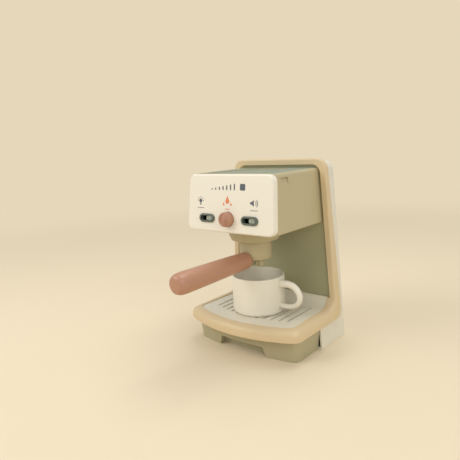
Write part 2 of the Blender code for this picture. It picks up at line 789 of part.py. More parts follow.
def battery_box(look):
    outer = box_outline(BOX_HALF, BOX_LOW, BOX_HIGH)
    inner = box_outline(BOX_HALF - BOX_WALL, BOX_LOW + BOX_WALL, BOX_HIGH - BOX_WALL)
    box = lofted("battery_box", [on_front(outer, y) for y in (BOX_FRONT, BOX_REAR - GAP)], look["black"])
    ends = (BOX_FRONT + BOX_WALL, BOX_REAR + OVERRUN)
    cut(box, lofted("battery_box_inside", [on_front(inner, y) for y in ends], look["black"]))
    return box


CELL_CAP_RADIUS = 0.0027
CELL_CAP_LENGTH = 0.0012


def cells(look):
    depth = BOX_FRONT + BOX_WALL + GAP + CELL_RADIUS
    profile = [
        (0, -CELL_LENGTH / 2),
        (CELL_RADIUS, -CELL_LENGTH / 2),
        (CELL_RADIUS, CELL_LENGTH / 2 - CELL_CAP_LENGTH),
        (CELL_CAP_RADIUS, CELL_LENGTH / 2 - CELL_CAP_LENGTH),
        (CELL_CAP_RADIUS, CELL_LENGTH / 2),
        (0, CELL_LENGTH / 2),
    ]
    for i in range(3):
        height = BATTERY_MIDDLE + (i - 1) * BATTERY_PITCH
        side = 1 if i % 2 else -1
        cell = turned(f"battery_{i + 1}", profile, look["cell"], SMALL_SIDES)
        placed(cell, (0, depth, height), (0, side * math.pi / 2, 0))


CONTACT_THICKNESS = 0.0005
CONTACT_DEPTH = 0.010
CONTACT_TONGUE = 0.0018


def contact(name, side, look):
    """A sheet-metal strip down one end of the battery box, with a bent tongue towards each cell."""
    wall = side * (BOX_HALF - BOX_WALL - GAP)
    inwards = -side
    low = BOX_LOW + BOX_WALL + GAP
    high = BOX_HIGH - BOX_WALL - GAP
    front = BOX_FRONT + BOX_WALL + GAP + CELL_RADIUS - CONTACT_DEPTH / 2
    strip = [Vector((wall, low)), Vector((wall, high)), Vector((wall + inwards * CONTACT_THICKNESS, high))]
    for i in (2, 1, 0):
        height = BATTERY_MIDDLE + (i - 1) * BATTERY_PITCH
        face = wall + inwards * CONTACT_THICKNESS
        tip = face + inwards * CONTACT_TONGUE
        strip += [
            Vector((face, height + CELL_CAP_RADIUS)),
            Vector((tip, height)),
            Vector((face, height - CELL_CAP_RADIUS)),
        ]
    strip.append(Vector((wall + inwards * CONTACT_THICKNESS, low)))
    return lofted(name, [on_front(strip, y) for y in (front, front + CONTACT_DEPTH)], look["steel"])


GRIP_COUNT = 3
GRIP_PITCH = 0.004
GRIP_HALF = 0.010
GRIP_DEPTH = 0.0008


def battery_door(look):
    hinge = axis("battery_door_slide", (0, COVER_DEPTH, (DOOR_LOW + DOOR_HIGH) / 2))
    outline = box_outline(DOOR_HALF, DOOR_LOW - hinge.location.z, DOOR_HIGH - hinge.location.z,
                          DOOR_CORNER_RADIUS)
    door = lofted("battery_door", [on_front(outline, y) for y in (-DOOR_THICKNESS, 0)], look["white"])
    screw_height = DOOR_SCREW_HEIGHT - hinge.location.z
    tools = [screw_hole("door_screw_hole", (0, 0, screw_height), BACKWARDS, look)]
    for i in range(GRIP_COUNT):
        low = DOOR_HIGH - hinge.location.z - DOOR_CORNER_RADIUS - (i + 1) * GRIP_PITCH
        groove = box_outline(GRIP_HALF, low, low + GRIP_PITCH / 2, GRIP_DEPTH)
        ends = (-GRIP_DEPTH, OVERRUN)
        tools.append(lofted(f"door_grip_{i + 1}", [on_front(groove, y) for y in ends], look["white"]))
    tool = gathered("door_recesses", tools)
    cut(door, tool)
    fixing = screw("door_screw", (0, 0, screw_height), BACKWARDS, look)
    carried(hinge, door, fixing, tool)


# Base box

NOTCH_BOTTOM_HALF = 0.040
NOTCH_TOP_HALF = 0.034
NOTCH_HEIGHT = 0.0135
NOTCH_DEPTH = 0.012


def notch(name, margin, low, depth, material):
    outline = [
        Vector((-(NOTCH_BOTTOM_HALF + margin), low)),
        Vector((NOTCH_BOTTOM_HALF + margin, low)),
        Vector((NOTCH_TOP_HALF + margin, NOTCH_HEIGHT + margin)),
        Vector((-(NOTCH_TOP_HALF + margin), NOTCH_HEIGHT + margin)),
    ]
    ends = (-(BASE_REACH + OVERRUN), depth - BASE_REACH + BASE_DRAFT)
    return lofted(name, [on_front(outline, y) for y in ends], material)


def base_plan(inset, height, rear):
    return on_plan(
        bowed_outline(BASE_HALF_WIDTH, BASE_REACH, BASE_BOW, rear, BASE_CORNER_RADIUS, inset), height
    )


def base_box(look):
    khaki = look["khaki"]
    top = DECK_BOTTOM - GAP
    rear = -(COVER_TOE + GAP)
    box = lofted("base_box", [base_plan(BASE_DRAFT, 0, rear), base_plan(0, top, rear)], khaki)
    hollow = [
        base_plan(BASE_DRAFT + WALL, WALL, rear + OVERRUN),
        base_plan(WALL, top + OVERRUN, rear + OVERRUN),
    ]
    cut(box, lofted("base_hollow", hollow, khaki))
    wall = keep(
        notch("base_notch_wall", WALL, 0, NOTCH_DEPTH + WALL, khaki),
        lofted("base_notch_limit", [base_plan(BASE_DRAFT + WALL / 2, 0, rear),
                                    base_plan(WALL / 2, top, rear)], khaki),
    )
    join(box, wall)
    cut(box, notch("base_notch", 0, -OVERRUN, NOTCH_DEPTH, khaki))
    holes = [
        screw_hole(f"base_screw_hole_{i + 1}", (across, -reach, GAP), DOWNWARDS, look)
        for i, (across, reach) in enumerate(screw_places(BASE_SCREW_FRONT, BASE_SCREW_REAR))
    ]
    return cut(box, gathered("base_screw_holes", holes))


# Head housing

BAY_SET_BACK = 0.0124
BAY_KNEE = 0.017
BAY_FRONT_REACH = PANEL_TOP_REACH - BAY_SET_BACK
BAY_KNEE_REACH = BAY_FRONT_REACH - BAY_KNEE
BAY_REAR_REACH = 0.008
BAY_FRONT_INSET = 0.0285
BAY_KNEE_INSET = 0.031
BAY_REAR_SHARE = 0.5474
BAY_FRONT_HALF = HEAD_HALF_WIDTH - BAY_FRONT_INSET
BAY_KNEE_HALF = HEAD_HALF_WIDTH - BAY_KNEE_INSET
BAY_REAR_HALF = BAY_KNEE_HALF * BAY_REAR_SHARE
BAY_CORNER_RADIUS = 0.005
BAY_REAR_RADIUS = 0.002
LID_CLEARANCE = 0.0004
LID_DROP = 0.0008
LID_THICKNESS = 0.0022
TANK_FLANGE = 0.0016
TANK_WALL = 0.0016
LEDGE_WIDTH = 0.0032
LEDGE_THICKNESS = 0.0020
SCOOP_FRONT = 0.085
SCOOP_REAR = 0.0695
SCOOP_DROP = 0.006
SCOOP_HEIGHT = 0.011
SCOOP_TOP = HEAD_TOP - SCOOP_DROP
SCOOP_BOTTOM = SCOOP_TOP - SCOOP_HEIGHT
SCOOP_DEPTH = 0.0024
PIVOT_RADIUS = 0.0010
PIVOT_LENGTH = 0.0025
PIVOT_REACH = 0.0092
PUMP_REACH = 0.040
PUMP_SET_IN = 0.0423
PUMP_WIDTH = 0.0120
MOTOR_CLEARANCE = 0.0005
PUMP_START = PUMP_SET_IN - HEAD_HALF_WIDTH
MOTOR_START = PUMP_START + PUMP_WIDTH + MOTOR_CLEARANCE
PUMP_RADIUS = 0.0120
PUMP_CLEARANCE = 0.0066
PUMP_HEADROOM = 0.006
PUMP_HEIGHT = HEAD_BOTTOM + WALL + PUMP_CLEARANCE + PUMP_RADIUS
TANK_BOTTOM = PUMP_HEIGHT + PUMP_RADIUS + PUMP_HEADROOM
MOTOR_RADIUS = 0.0102
MOTOR_LENGTH = 0.0265
CRADLE_THICKNESS = 0.002
CRADLE_HALF = 0.009
TUBE_RADIUS = 0.0025

LID_TOP = HEAD_TOP - LID_DROP
LEDGE_TOP = LID_TOP - LID_THICKNESS - TANK_FLANGE - 2 * GAP


def panel_rear(height, offset=0.0):
    """How far forwards the plane behind the control panel reaches at a height."""
    share = (height - HEAD_BOTTOM) / PANEL_HEIGHT
    front = PANEL_BOTTOM_REACH + share * (PANEL_TOP_REACH - PANEL_BOTTOM_REACH)
    return front - (PANEL_DEPTH + offset) / math.cos(PANEL_LEAN)


def head_plan(inset, height, front=None, rear=RECESS_DEPTH - GAP):
    half = leaning(HEAD_HALF_WIDTH, height) - inset
    reach = panel_rear(height, GAP) if front is None else front
    return on_plan([Vector((-half, rear)), Vector((half, rear)), Vector((half, -reach)),
                    Vector((-half, -reach))], height)


def bay_outline(inset):
    front = inset - BAY_FRONT_REACH
    rear = -(BAY_REAR_REACH + inset)
    return rounded(
        [
            (-(BAY_REAR_HALF - inset), rear, BAY_REAR_RADIUS),
            (-(BAY_KNEE_HALF - inset), -BAY_KNEE_REACH, 0),
            (-(BAY_FRONT_HALF - inset), front, BAY_CORNER_RADIUS),
            (BAY_FRONT_HALF - inset, front, BAY_CORNER_RADIUS),
            (BAY_KNEE_HALF - inset, -BAY_KNEE_REACH, 0),
            (BAY_REAR_HALF - inset, rear, BAY_REAR_RADIUS),
        ]
    )


def bay_block(name, inset, low, high, material):
    return lofted(name, [on_plan(bay_outline(inset), z) for z in (low, high)], material)


def pivot_place(side):
    """Where the lid's pivot sits, beside its rear edge."""
    return Vector((side * (bay_half_at(PIVOT_REACH)), -PIVOT_REACH, LID_TOP - LID_THICKNESS / 2))


def bay_half_at(reach):
    share = (reach - BAY_REAR_REACH) / (BAY_KNEE_REACH - BAY_REAR_REACH)
    return BAY_REAR_HALF + share * (BAY_KNEE_HALF - BAY_REAR_HALF)


def scoop(side, material):
    """A finger scoop: deep under its upper edge, running out to nothing at its lower one."""
    rings = []
    for reach in (SCOOP_FRONT, SCOOP_REAR):
        upper = leaning(HEAD_HALF_WIDTH, SCOOP_TOP)
        lower = leaning(HEAD_HALF_WIDTH, SCOOP_BOTTOM)
        rings.append(
            [
                (side * (upper + OVERRUN), -reach, SCOOP_TOP),
                (side * (upper - SCOOP_DEPTH), -reach, SCOOP_TOP),
                (side * lower, -reach, SCOOP_BOTTOM),
                (side * (lower + OVERRUN), -reach, SCOOP_BOTTOM),
            ]
        )
    return lofted("head_scoop_right" if side > 0 else "head_scoop_left", rings, material)


def scoop_pad(side, material):
    """Extra wall inside the housing, behind the scoop."""
    rings = []
    for reach in (SCOOP_FRONT + WALL, SCOOP_REAR - WALL):
        ring = []
        for height in (SCOOP_TOP + WALL, SCOOP_BOTTOM):
            outer = leaning(HEAD_HALF_WIDTH, height) - WALL / 2
            inner = leaning(HEAD_HALF_WIDTH, height) - SCOOP_DEPTH - WALL
            pair = [(side * outer, -reach, height), (side * inner, -reach, height)]
            ring += pair if height > SCOOP_BOTTOM else reversed(pair)
        rings.append(ring)
    return lofted("head_scoop_pad_right" if side > 0 else "head_scoop_pad_left", rings, material)


def cradle(name, across, radius, material):
    """A rib on the head's floor that the pump lies in."""
    floor = HEAD_BOTTOM + WALL / 2
    arc = []
    for k in range(SMALL_SIDES // 2 + 1):
        turn = math.pi + math.pi * (k + 2) / (SMALL_SIDES // 2 + 4)
        arc.append(Vector((radius * math.cos(turn) - PUMP_REACH, radius * math.sin(turn) + PUMP_HEIGHT)))
    outline = [Vector((arc[0].x, floor)), *arc, Vector((arc[-1].x, floor))]
    ends = (across - CRADLE_THICKNESS / 2, across + CRADLE_THICKNESS / 2)
    return lofted(name, [on_side(outline, x) for x in ends], material)


def head_housing(look):
    khaki = look["khaki"]
    rings = [head_plan(FRAME_EDGE_RADIUS / 2, HEAD_BOTTOM)]
    rings.append(head_plan(0, HEAD_BOTTOM + FRAME_EDGE_RADIUS / 2))
    for depth, inset in reversed(round_edge(HEAD_EDGE_RADIUS, CORNER_STEPS)):
        rings.append(head_plan(inset, HEAD_TOP - depth))
    head = lofted("head_housing", rings, khaki)
    hollow = [head_plan(WALL, HEAD_BOTTOM + WALL, PANEL_BOTTOM_REACH, RECESS_DEPTH + OVERRUN)]
    for depth, inset in reversed(round_edge(HEAD_EDGE_RADIUS - WALL, EDGE_STEPS)):
        hollow.append(
            head_plan(WALL + inset, HEAD_TOP - WALL - depth, PANEL_BOTTOM_REACH, RECESS_DEPTH + OVERRUN)
        )
    cut(head, lofted("head_hollow", hollow, khaki))
    ring = bay_block("head_bay_ring", -(LID_CLEARANCE + WALL), LEDGE_TOP - LEDGE_THICKNESS,
                     HEAD_TOP - WALL / 2, khaki)
    pads = [scoop_pad(side, khaki) for side in (-1, 1)]
    cradles = [
        cradle("head_cradle_left", MOTOR_START + MOTOR_LENGTH / 5, MOTOR_RADIUS + GAP, khaki),
        cradle("head_cradle_right", MOTOR_START + MOTOR_LENGTH * 4 / 5, MOTOR_RADIUS + GAP, khaki),
    ]
    join(head, ring, gathered("head_scoop_pads", pads), gathered("head_cradles", cradles))
    cut(
        head,
        bay_block("head_lid_seat", -LID_CLEARANCE, LEDGE_TOP, HEAD_TOP + OVERRUN, khaki),
        bay_block("head_tank_hole", LEDGE_WIDTH, LEDGE_TOP - OVERRUN, HEAD_TOP, khaki),
        gathered("head_scoops", [scoop(side, khaki) for side in (-1, 1)]),
    )
    reach = pivot_place(1).x + PIVOT_LENGTH + GAP
    seat = rod("head_pivot_hole", PIVOT_RADIUS + GAP, -reach, reach, khaki)
    placed(seat, (0, -PIVOT_REACH, pivot_place(1).z), (0, math.pi / 2, 0))
    outlet = rod("head_outlet_hole", TUBE_RADIUS + GAP, HEAD_BOTTOM - OVERRUN, HEAD_BOTTOM + OVERRUN, khaki)
    placed(outlet, (0, -GROUP_REACH, 0))
    cut(head, seat, outlet)
    return head


# Water tank and its lid

NIPPLE_RADIUS = 0.0030
NIPPLE_BORE = 0.0015
NIPPLE_LENGTH = 0.006
NIPPLE_SHARE = 0.6923
NIPPLE_ACROSS = -BAY_REAR_HALF * NIPPLE_SHARE
NIPPLE_REACH = 0.020


def water_tank(look):
    smoke = look["smoke"]
    top = LEDGE_TOP + GAP + TANK_FLANGE
    body = LEDGE_WIDTH + GAP
    tank = bay_block("water_tank", body, TANK_BOTTOM, top - TANK_FLANGE / 2, smoke)
    join(tank, bay_block("tank_flange", 0, top - TANK_FLANGE, top, smoke))
    cut(tank, bay_block("tank_inside", body + TANK_WALL, TANK_BOTTOM + TANK_WALL, top + OVERRUN, smoke))
    nipple = rod("tank_nipple", NIPPLE_RADIUS, TANK_BOTTOM - NIPPLE_LENGTH, TANK_BOTTOM + TANK_WALL / 2, smoke)
    bore = rod("tank_nipple_bore", NIPPLE_BORE, TANK_BOTTOM - NIPPLE_LENGTH - OVERRUN, TANK_BOTTOM + OVERRUN,
               smoke)
    for item in (nipple, bore):
        placed(item, (NIPPLE_ACROSS, -NIPPLE_REACH, 0))
    join(tank, nipple)
    cut(tank, bore)
    return tank


def tank_lid(look):
    smoke = look["smoke"]
    pivot = pivot_place(1)
    hinge = axis("tank_lid_hinge", (0, pivot.y, pivot.z))
    plate = [[(x, y - pivot.y, z - pivot.z) for x, y, z in on_plan(bay_outline(inset), height)]
             for inset, height in (
                 (0, LID_TOP - LID_THICKNESS),
                 (0, LID_TOP - LID_THICKNESS / 4),
                 (LID_THICKNESS / 4, LID_TOP))]
    lid = lofted("tank_lid", plate, smoke)
    straight_half = BAY_REAR_HALF - BAY_REAR_RADIUS
    shoulder = HEAD_TOP - pivot.z + LID_CLEARANCE
    beyond = OVERRUN + BAY_REAR_REACH
    trim = [
        Vector((-BAY_FRONT_HALF, beyond)),
        Vector((-BAY_FRONT_HALF, -shoulder)),
        Vector((-straight_half, -shoulder)),
        Vector((-straight_half, 0)),
        Vector((straight_half, 0)),
        Vector((straight_half, -shoulder)),
        Vector((BAY_FRONT_HALF, -shoulder)),
        Vector((BAY_FRONT_HALF, beyond)),
    ]
    rear = lofted("tank_lid_trim", [on_plan(trim, z) for z in (-LID_THICKNESS, LID_THICKNESS)], smoke)
    reach = pivot.x + PIVOT_LENGTH - GAP
    stub = rod("tank_lid_pivots", PIVOT_RADIUS, -reach, reach, smoke)
    placed(stub, (0, 0, 0), (0, math.pi / 2, 0))
    cut(lid, rear)
    join(lid, stub)
    carried(hinge, lid, rear, stub)


# Control panel

BUTTON_HOLE_RADIUS = 0.0095
CONTROL_RISE = 0.0169
CONTROL_DROP = PANEL_HEIGHT / 2 - CONTROL_RISE
SWITCH_ACROSS = 0.034
SWITCH_LENGTH = 0.025
SWITCH_HEIGHT = 0.011
SWITCH_PROUD = 0.0024
SLEEVE_WALL = 0.0014
SLEEVE_DEPTH = 0.0034
SLOT_LENGTH = 0.0196
SLOT_HEIGHT = 0.0062
BOARD_DEPTH = 0.014
BOARD_THICKNESS = 0.0016
BOARD_SIDE_MARGIN = 0.012
BOARD_MARGIN = 0.007
BOARD_HEIGHT = 0.037
BOARD_HALF = PANEL_TOP_HALF - BOARD_SIDE_MARGIN
BOARD_LOW = BOARD_MARGIN - PANEL_HEIGHT / 2
BOARD_HIGH = BOARD_LOW + BOARD_HEIGHT
BOARD_POST_RADIUS = 0.0028
BOARD_POST_MARGIN = 0.0035


def panel_outline(inset):
    half_height = PANEL_HEIGHT / 2 / math.cos(PANEL_LEAN)
    radius = max(PANEL_CORNER_RADIUS - inset, PANEL_EDGE_RADIUS)
    low = PANEL_BOTTOM_HALF - inset
    high = PANEL_TOP_HALF - inset
    bottom = inset - half_height
    return rounded(
        [(-low, bottom, radius), (low, bottom, radius), (high, -bottom, radius), (-high, -bottom, radius)]
    )


def slot_outline(length, height, across):
    """A straight slot with round ends, lying across."""
    return box_outline(length / 2, -CONTROL_DROP - height / 2, -CONTROL_DROP + height / 2,
                       height / 2 - GAP / 2, across)


def front_panel(plane, look):
    white = look["white"]
    rings = [on_front(panel_outline(inset), depth) for depth, inset in round_edge(PANEL_EDGE_RADIUS)]
    rings.append(on_front(panel_outline(0), PANEL_DEPTH))
    panel = lofted("front_panel", rings, white)
    tools = [lofted("panel_hollow", [on_front(panel_outline(WALL), y) for y in (WALL, PANEL_DEPTH + OVERRUN)],
                    white)]
    cut(panel, tools[0])
    ends = (WALL / 2, BOARD_DEPTH - GAP)
    posts = [
        lofted(f"panel_post_{i + 1}", [on_front(circle(BOARD_POST_RADIUS, x, z), y) for y in ends], white)
        for i, (x, z) in enumerate(board_posts())
    ]
    tools.append(gathered("panel_posts", posts))
    join(panel, tools[-1])
    through = (-OVERRUN, WALL + GAP)
    hole = circle(BUTTON_HOLE_RADIUS, 0, -CONTROL_DROP, ROUND_SIDES)
    holes = [lofted("panel_button_hole", [on_front(hole, y) for y in through], white)]
    margin = 2 * (SLEEVE_WALL + GAP)
    for side in (-1, 1):
        slot = slot_outline(SLOT_LENGTH + margin, SLOT_HEIGHT + margin, side * SWITCH_ACROSS)
        holes.append(lofted(f"panel_slot_{side + 2}", [on_front(slot, y) for y in through], white))
    tools.append(gathered("panel_holes", holes))
    cut(panel, tools[-1])
    carried(plane, panel, *tools)
    return panel


def board_posts():
    margin = BOARD_POST_MARGIN
    return [(side * (BOARD_HALF - margin), z) for side in (-1, 1)
            for z in (BOARD_LOW + margin, BOARD_HIGH - margin)]


def circuit_board(plane, look):
    outline = box_outline(BOARD_HALF, BOARD_LOW, BOARD_HIGH, GAP)
    ends = (BOARD_DEPTH, BOARD_DEPTH + BOARD_THICKNESS)
    board = lofted("circuit_board", [on_front(outline, y) for y in ends], look["board"])
    return carried(plane, board)


KNOB_LENGTH = 0.0085
KNOB_TRAVEL = 0.008
KNOB_CORNER_RADIUS = 0.002
KNOB_PROUD = 0.0014
SHOE_THICKNESS = 0.0014
SHOE_MARGIN = 0.0022
STEM_HALF = 0.0012
SLIDE_BODY_LENGTH = 0.013
SLIDE_BODY_HEIGHT = 0.0040
SLIDE_BODY_FRONT = 0.0090
KNOB_RIBS = 3
KNOB_RIB_DEPTH = 0.0005


def slide_switch(kind, side, plane, look):
    """A bezel in the panel, a slider that shows in it, and the switch on the board behind."""
    across = side * SWITCH_ACROSS
    rim = [
        (-SWITCH_PROUD, 0.0012),
        (-SWITCH_PROUD + 0.0006, 0.0003),
        (-SWITCH_PROUD + 0.0012, 0.0),
        (-GAP, 0.0),
    ]
    rings = [
        on_front(slot_outline(SWITCH_LENGTH - 2 * inset, SWITCH_HEIGHT - 2 * inset, across), y)
        for y, inset in rim
    ]
    bezel = lofted(f"{kind}_switch_bezel", rings, look["grey"])
    sleeve = slot_outline(SLOT_LENGTH + 2 * SLEEVE_WALL, SLOT_HEIGHT + 2 * SLEEVE_WALL, across)
    opening = slot_outline(SLOT_LENGTH, SLOT_HEIGHT, across)
    tools = [
        lofted(f"{kind}_sleeve", [on_front(sleeve, y) for y in (-2 * GAP, SLEEVE_DEPTH)], look["grey"]),
        lofted(f"{kind}_opening", [on_front(opening, y) for y in (-OVERRUN, 2 * OVERRUN)], look["grey"]),
    ]
    join(bezel, tools[0])
    cut(bezel, tools[1])
    rest = across + KNOB_TRAVEL / 2
    low = -CONTROL_DROP
    slide = axis(f"{kind}_switch_slide", (rest, 0, low))
    knob_half = SLOT_HEIGHT / 2 - GAP
    knob = box_outline(KNOB_LENGTH / 2, -knob_half, knob_half, KNOB_CORNER_RADIUS)
    slider = lofted(
        f"{kind}_switch_slider", [on_front(knob, y) for y in (-KNOB_PROUD, SLEEVE_DEPTH + 2 * GAP)],
        look["white"],
    )
    shoe = box_outline(KNOB_LENGTH / 2 + SHOE_MARGIN / 2, -knob_half - SHOE_MARGIN, knob_half + SHOE_MARGIN)
    stem = box_outline(STEM_HALF, -STEM_HALF, STEM_HALF)
    shoe_front = SLEEVE_DEPTH + GAP
    parts = [
        lofted(f"{kind}_shoe", [on_front(shoe, y) for y in (shoe_front, shoe_front + SHOE_THICKNESS)],
               look["white"]),
        lofted(f"{kind}_stem", [on_front(stem, y) for y in (shoe_front + GAP, SLIDE_BODY_FRONT - GAP)],
               look["white"]),
    ]
    join(slider, *parts)
    ribs = []
    for i in range(KNOB_RIBS):
        middle = (i - (KNOB_RIBS - 1) / 2) * KNOB_LENGTH / (KNOB_RIBS + 1)
        groove = box_outline(KNOB_RIB_DEPTH, -SLOT_HEIGHT, SLOT_HEIGHT, middle=middle)
        ends = (-KNOB_PROUD - OVERRUN, KNOB_RIB_DEPTH - KNOB_PROUD)
        ribs.append(lofted(f"{kind}_rib_{i + 1}", [on_front(groove, y) for y in ends], look["white"]))
    grooves = gathered(f"{kind}_ribs", ribs)
    cut(slider, grooves)
    carried(slide, slider, grooves, *parts)
    body = box_outline(
        (SLIDE_BODY_LENGTH + KNOB_TRAVEL) / 2, low - SLIDE_BODY_HEIGHT / 2, low + SLIDE_BODY_HEIGHT / 2,
        GAP, across,
    )
    case = lofted(f"{kind}_switch_body", [on_front(body, y) for y in (SLIDE_BODY_FRONT, BOARD_DEPTH - GAP)],
                  look["steel"])
    carried(plane, bezel, *tools, case, slide)


BUTTON_RADIUS = 0.009
BUTTON_PROUD = 0.0092
BUTTON_CROWN = 0.0012
BUTTON_TRAVEL = 0.003
BUTTON_FLANGE = 0.0014
BUTTON_FLANGE_RADIUS = 0.0108
BUTTON_STEM_RADIUS = 0.0032
BUTTON_STEM_END = 0.0072
GROOVE_DEPTH = 0.0004
GROOVE_SHARES = (0.33, 0.60, 0.84)
PUSH_SWITCH_HALF = 0.003
PUSH_SWITCH_HEIGHT = 0.0024
PLUNGER_RADIUS = 0.0016
SPRING_RADIUS = 0.0060
SPRING_WIRE = 0.0004
SPRING_TURNS = 5
SPRING_POINTS = 10


def water_button(plane, look):
    low = -CONTROL_DROP
    press = axis("water_button_press", (0, 0, low), (math.pi / 2, 0, 0))
    crown = BUTTON_PROUD
    profile = [(0, crown)]
    for share in GROOVE_SHARES:
        ring = share * BUTTON_RADIUS
        rise = crown - BUTTON_CROWN * share**3
        profile += [(ring - GROOVE_DEPTH, rise), (ring, rise - GROOVE_DEPTH), (ring + GROOVE_DEPTH, rise)]
    front = -(WALL + GAP)
    profile += [
        (BUTTON_RADIUS, crown - 2 * BUTTON_CROWN),
        (BUTTON_RADIUS, front),
        (BUTTON_FLANGE_RADIUS, front),
        (BUTTON_FLANGE_RADIUS, front - BUTTON_FLANGE),
        (BUTTON_STEM_RADIUS, front - BUTTON_FLANGE),
        (BUTTON_STEM_RADIUS, -BUTTON_STEM_END),
        (0, -BUTTON_STEM_END),
    ]
    button = turned("water_button", profile, look["terracotta"], ROUND_SIDES * 3 // 4)
    start = WALL + BUTTON_FLANGE + 2 * GAP + SPRING_WIRE
    end = BOARD_DEPTH - GAP - SPRING_WIRE
    count = SPRING_TURNS * SPRING_POINTS
    helix = []
    for k in range(count + 1):
        turn = 2 * math.pi * k / SPRING_POINTS
        helix.append(
            (SPRING_RADIUS * math.cos(turn), SPRING_RADIUS * math.sin(turn), -start - (end - start) * k / count)
        )
    spring = tube("button_spring", helix, SPRING_WIRE, look["steel"], 1)
    carried(press, button, spring)
    seat = box_outline(PUSH_SWITCH_HALF, low - PUSH_SWITCH_HALF, low + PUSH_SWITCH_HALF)
    rear = BOARD_DEPTH - GAP
    switch = lofted("push_switch", [on_front(seat, y) for y in (rear - PUSH_SWITCH_HEIGHT, rear)],
                    look["black"])
    plunger = circle(PLUNGER_RADIUS, 0, low)
    tip = BUTTON_STEM_END + BUTTON_TRAVEL + GAP
    nub = lofted("push_switch_plunger", [on_front(plunger, y) for y in (tip, rear - GAP)], look["black"])
    join(switch, nub)
    carried(plane, press, switch, nub)


LAMP_RADIUS = 0.0025
LAMP_LENGTH = 0.0075
LAMP_DROP = 0.0045
LAMP_INSET = 0.0115
LAMP_RISE = BOARD_HIGH - LAMP_DROP
LAMP_ACROSS = LAMP_INSET - BOARD_HALF


def lamp(plane, look):
    """A round lamp standing on the board behind the light sign."""
    profile = [
        (0, 0),
        (LAMP_RADIUS * 1.16, 0),
        (LAMP_RADIUS * 1.16, LAMP_RADIUS * 0.4),
        (LAMP_RADIUS, LAMP_RADIUS * 0.4),
        (LAMP_RADIUS, LAMP_LENGTH - LAMP_RADIUS),
        (LAMP_RADIUS * 0.7, LAMP_LENGTH - LAMP_RADIUS * 0.3),
        (0, LAMP_LENGTH),
    ]
    item = turned("lamp", profile, look["lens"], SMALL_SIDES)
    placed(item, (LAMP_ACROSS, BOARD_DEPTH - GAP, LAMP_RISE), (math.pi / 2, 0, 0))
    return carried(plane, item)


# Pump

PUMP_SIDES = 34
PUMP_WALL = 0.0018
SHAFT_RADIUS = 0.0010
SHAFT_DEPTH = 0.004
IMPELLER_RADIUS = 0.0085
IMPELLER_DISC = 0.0014
IMPELLER_HUB = 0.0030
BLADE_COUNT = 6
BLADE_HALF = 0.0005
PORT_LENGTH = 0.0040
PORT_RADIUS = 0.0028


def pump(look):
    black = look["black"]
    place = (0, -PUMP_REACH, PUMP_HEIGHT)
    along = (0, math.pi / 2, 0)
    end = PUMP_START + PUMP_WIDTH
    case = rod("pump_housing", PUMP_RADIUS, PUMP_START, end, black, PUMP_SIDES)
    inlet = rod("pump_inlet", PORT_RADIUS, PUMP_START - PORT_LENGTH, PUMP_START + PUMP_WALL / 2, black)
    chamber = rod("pump_chamber", PUMP_RADIUS - PUMP_WALL, PUMP_START + PUMP_WALL, end - PUMP_WALL, black,
                  PUMP_SIDES)
    inlet_bore = rod("pump_inlet_bore", NIPPLE_BORE, PUMP_START - PORT_LENGTH - OVERRUN,
                     PUMP_START + OVERRUN, black)
    shaft_hole = rod("pump_shaft_hole", SHAFT_RADIUS + GAP, end - OVERRUN, end + OVERRUN, black)
    for item in (case, inlet, chamber, inlet_bore, shaft_hole):
        placed(item, place, along)
    middle = PUMP_START + PUMP_WIDTH / 2
    start = PUMP_RADIUS - PUMP_WALL / 2
    outlet = rod("pump_outlet", PORT_RADIUS, start, PUMP_RADIUS + PORT_LENGTH, black)
    outlet_bore = rod("pump_outlet_bore", NIPPLE_BORE, start - OVERRUN, PUMP_RADIUS + PORT_LENGTH + OVERRUN,
                      black)
    for item in (outlet, outlet_bore):
        placed(item, (middle, -PUMP_REACH, PUMP_HEIGHT), (math.pi / 2, 0, 0))
    join(case, gathered("pump_ports", [inlet, outlet]))
    cut(case, chamber, gathered("pump_bores", [inlet_bore, outlet_bore, shaft_hole]))
    motor = rod("pump_motor", MOTOR_RADIUS, MOTOR_START, MOTOR_START + MOTOR_LENGTH, look["steel"],
                PUMP_SIDES)
    bore = rod("motor_shaft_hole", SHAFT_RADIUS + GAP, MOTOR_START - OVERRUN, MOTOR_START + SHAFT_DEPTH + GAP,
               look["steel"])
    for item in (motor, bore):
        placed(item, place, along)
    cut(motor, bore)
    impeller(place, look)


def impeller(place, look):
    spin = axis("pump_impeller_spin", place)
    black = look["black"]
    face = PUMP_START + PUMP_WALL + GAP
    back = PUMP_START + PUMP_WIDTH - PUMP_WALL - GAP
    profile = [
        (0, face + SHAFT_RADIUS),
        (IMPELLER_HUB, face + SHAFT_RADIUS),
        (IMPELLER_HUB, back - IMPELLER_DISC),
        (IMPELLER_RADIUS, back - IMPELLER_DISC),
        (IMPELLER_RADIUS, back),
        (SHAFT_RADIUS, back),
        (SHAFT_RADIUS, MOTOR_START + SHAFT_DEPTH),
        (0, MOTOR_START + SHAFT_DEPTH),
    ]
    wheel = placed(turned("pump_impeller", profile, black, SMALL_SIDES), (0, 0, 0), (0, math.pi / 2, 0))
    blades = []
    for i in range(BLADE_COUNT):
        turn = 2 * math.pi * i / BLADE_COUNT
        outline = [
            Vector((IMPELLER_HUB / 2, -BLADE_HALF)),
            Vector((IMPELLER_RADIUS, -BLADE_HALF)),
            Vector((IMPELLER_RADIUS, BLADE_HALF)),
            Vector((IMPELLER_HUB / 2, BLADE_HALF)),
        ]
        ends = (face + 2 * SHAFT_RADIUS, back - IMPELLER_DISC / 2)
        blade = lofted(f"impeller_blade_{i + 1}", [on_side(outline, x) for x in ends], black)
        blades.append(placed(blade, (0, 0, 0), (turn, 0, 0)))
    vanes = gathered("impeller_blades", blades)
    join(wheel, vanes)
    carried(spin, wheel, vanes)


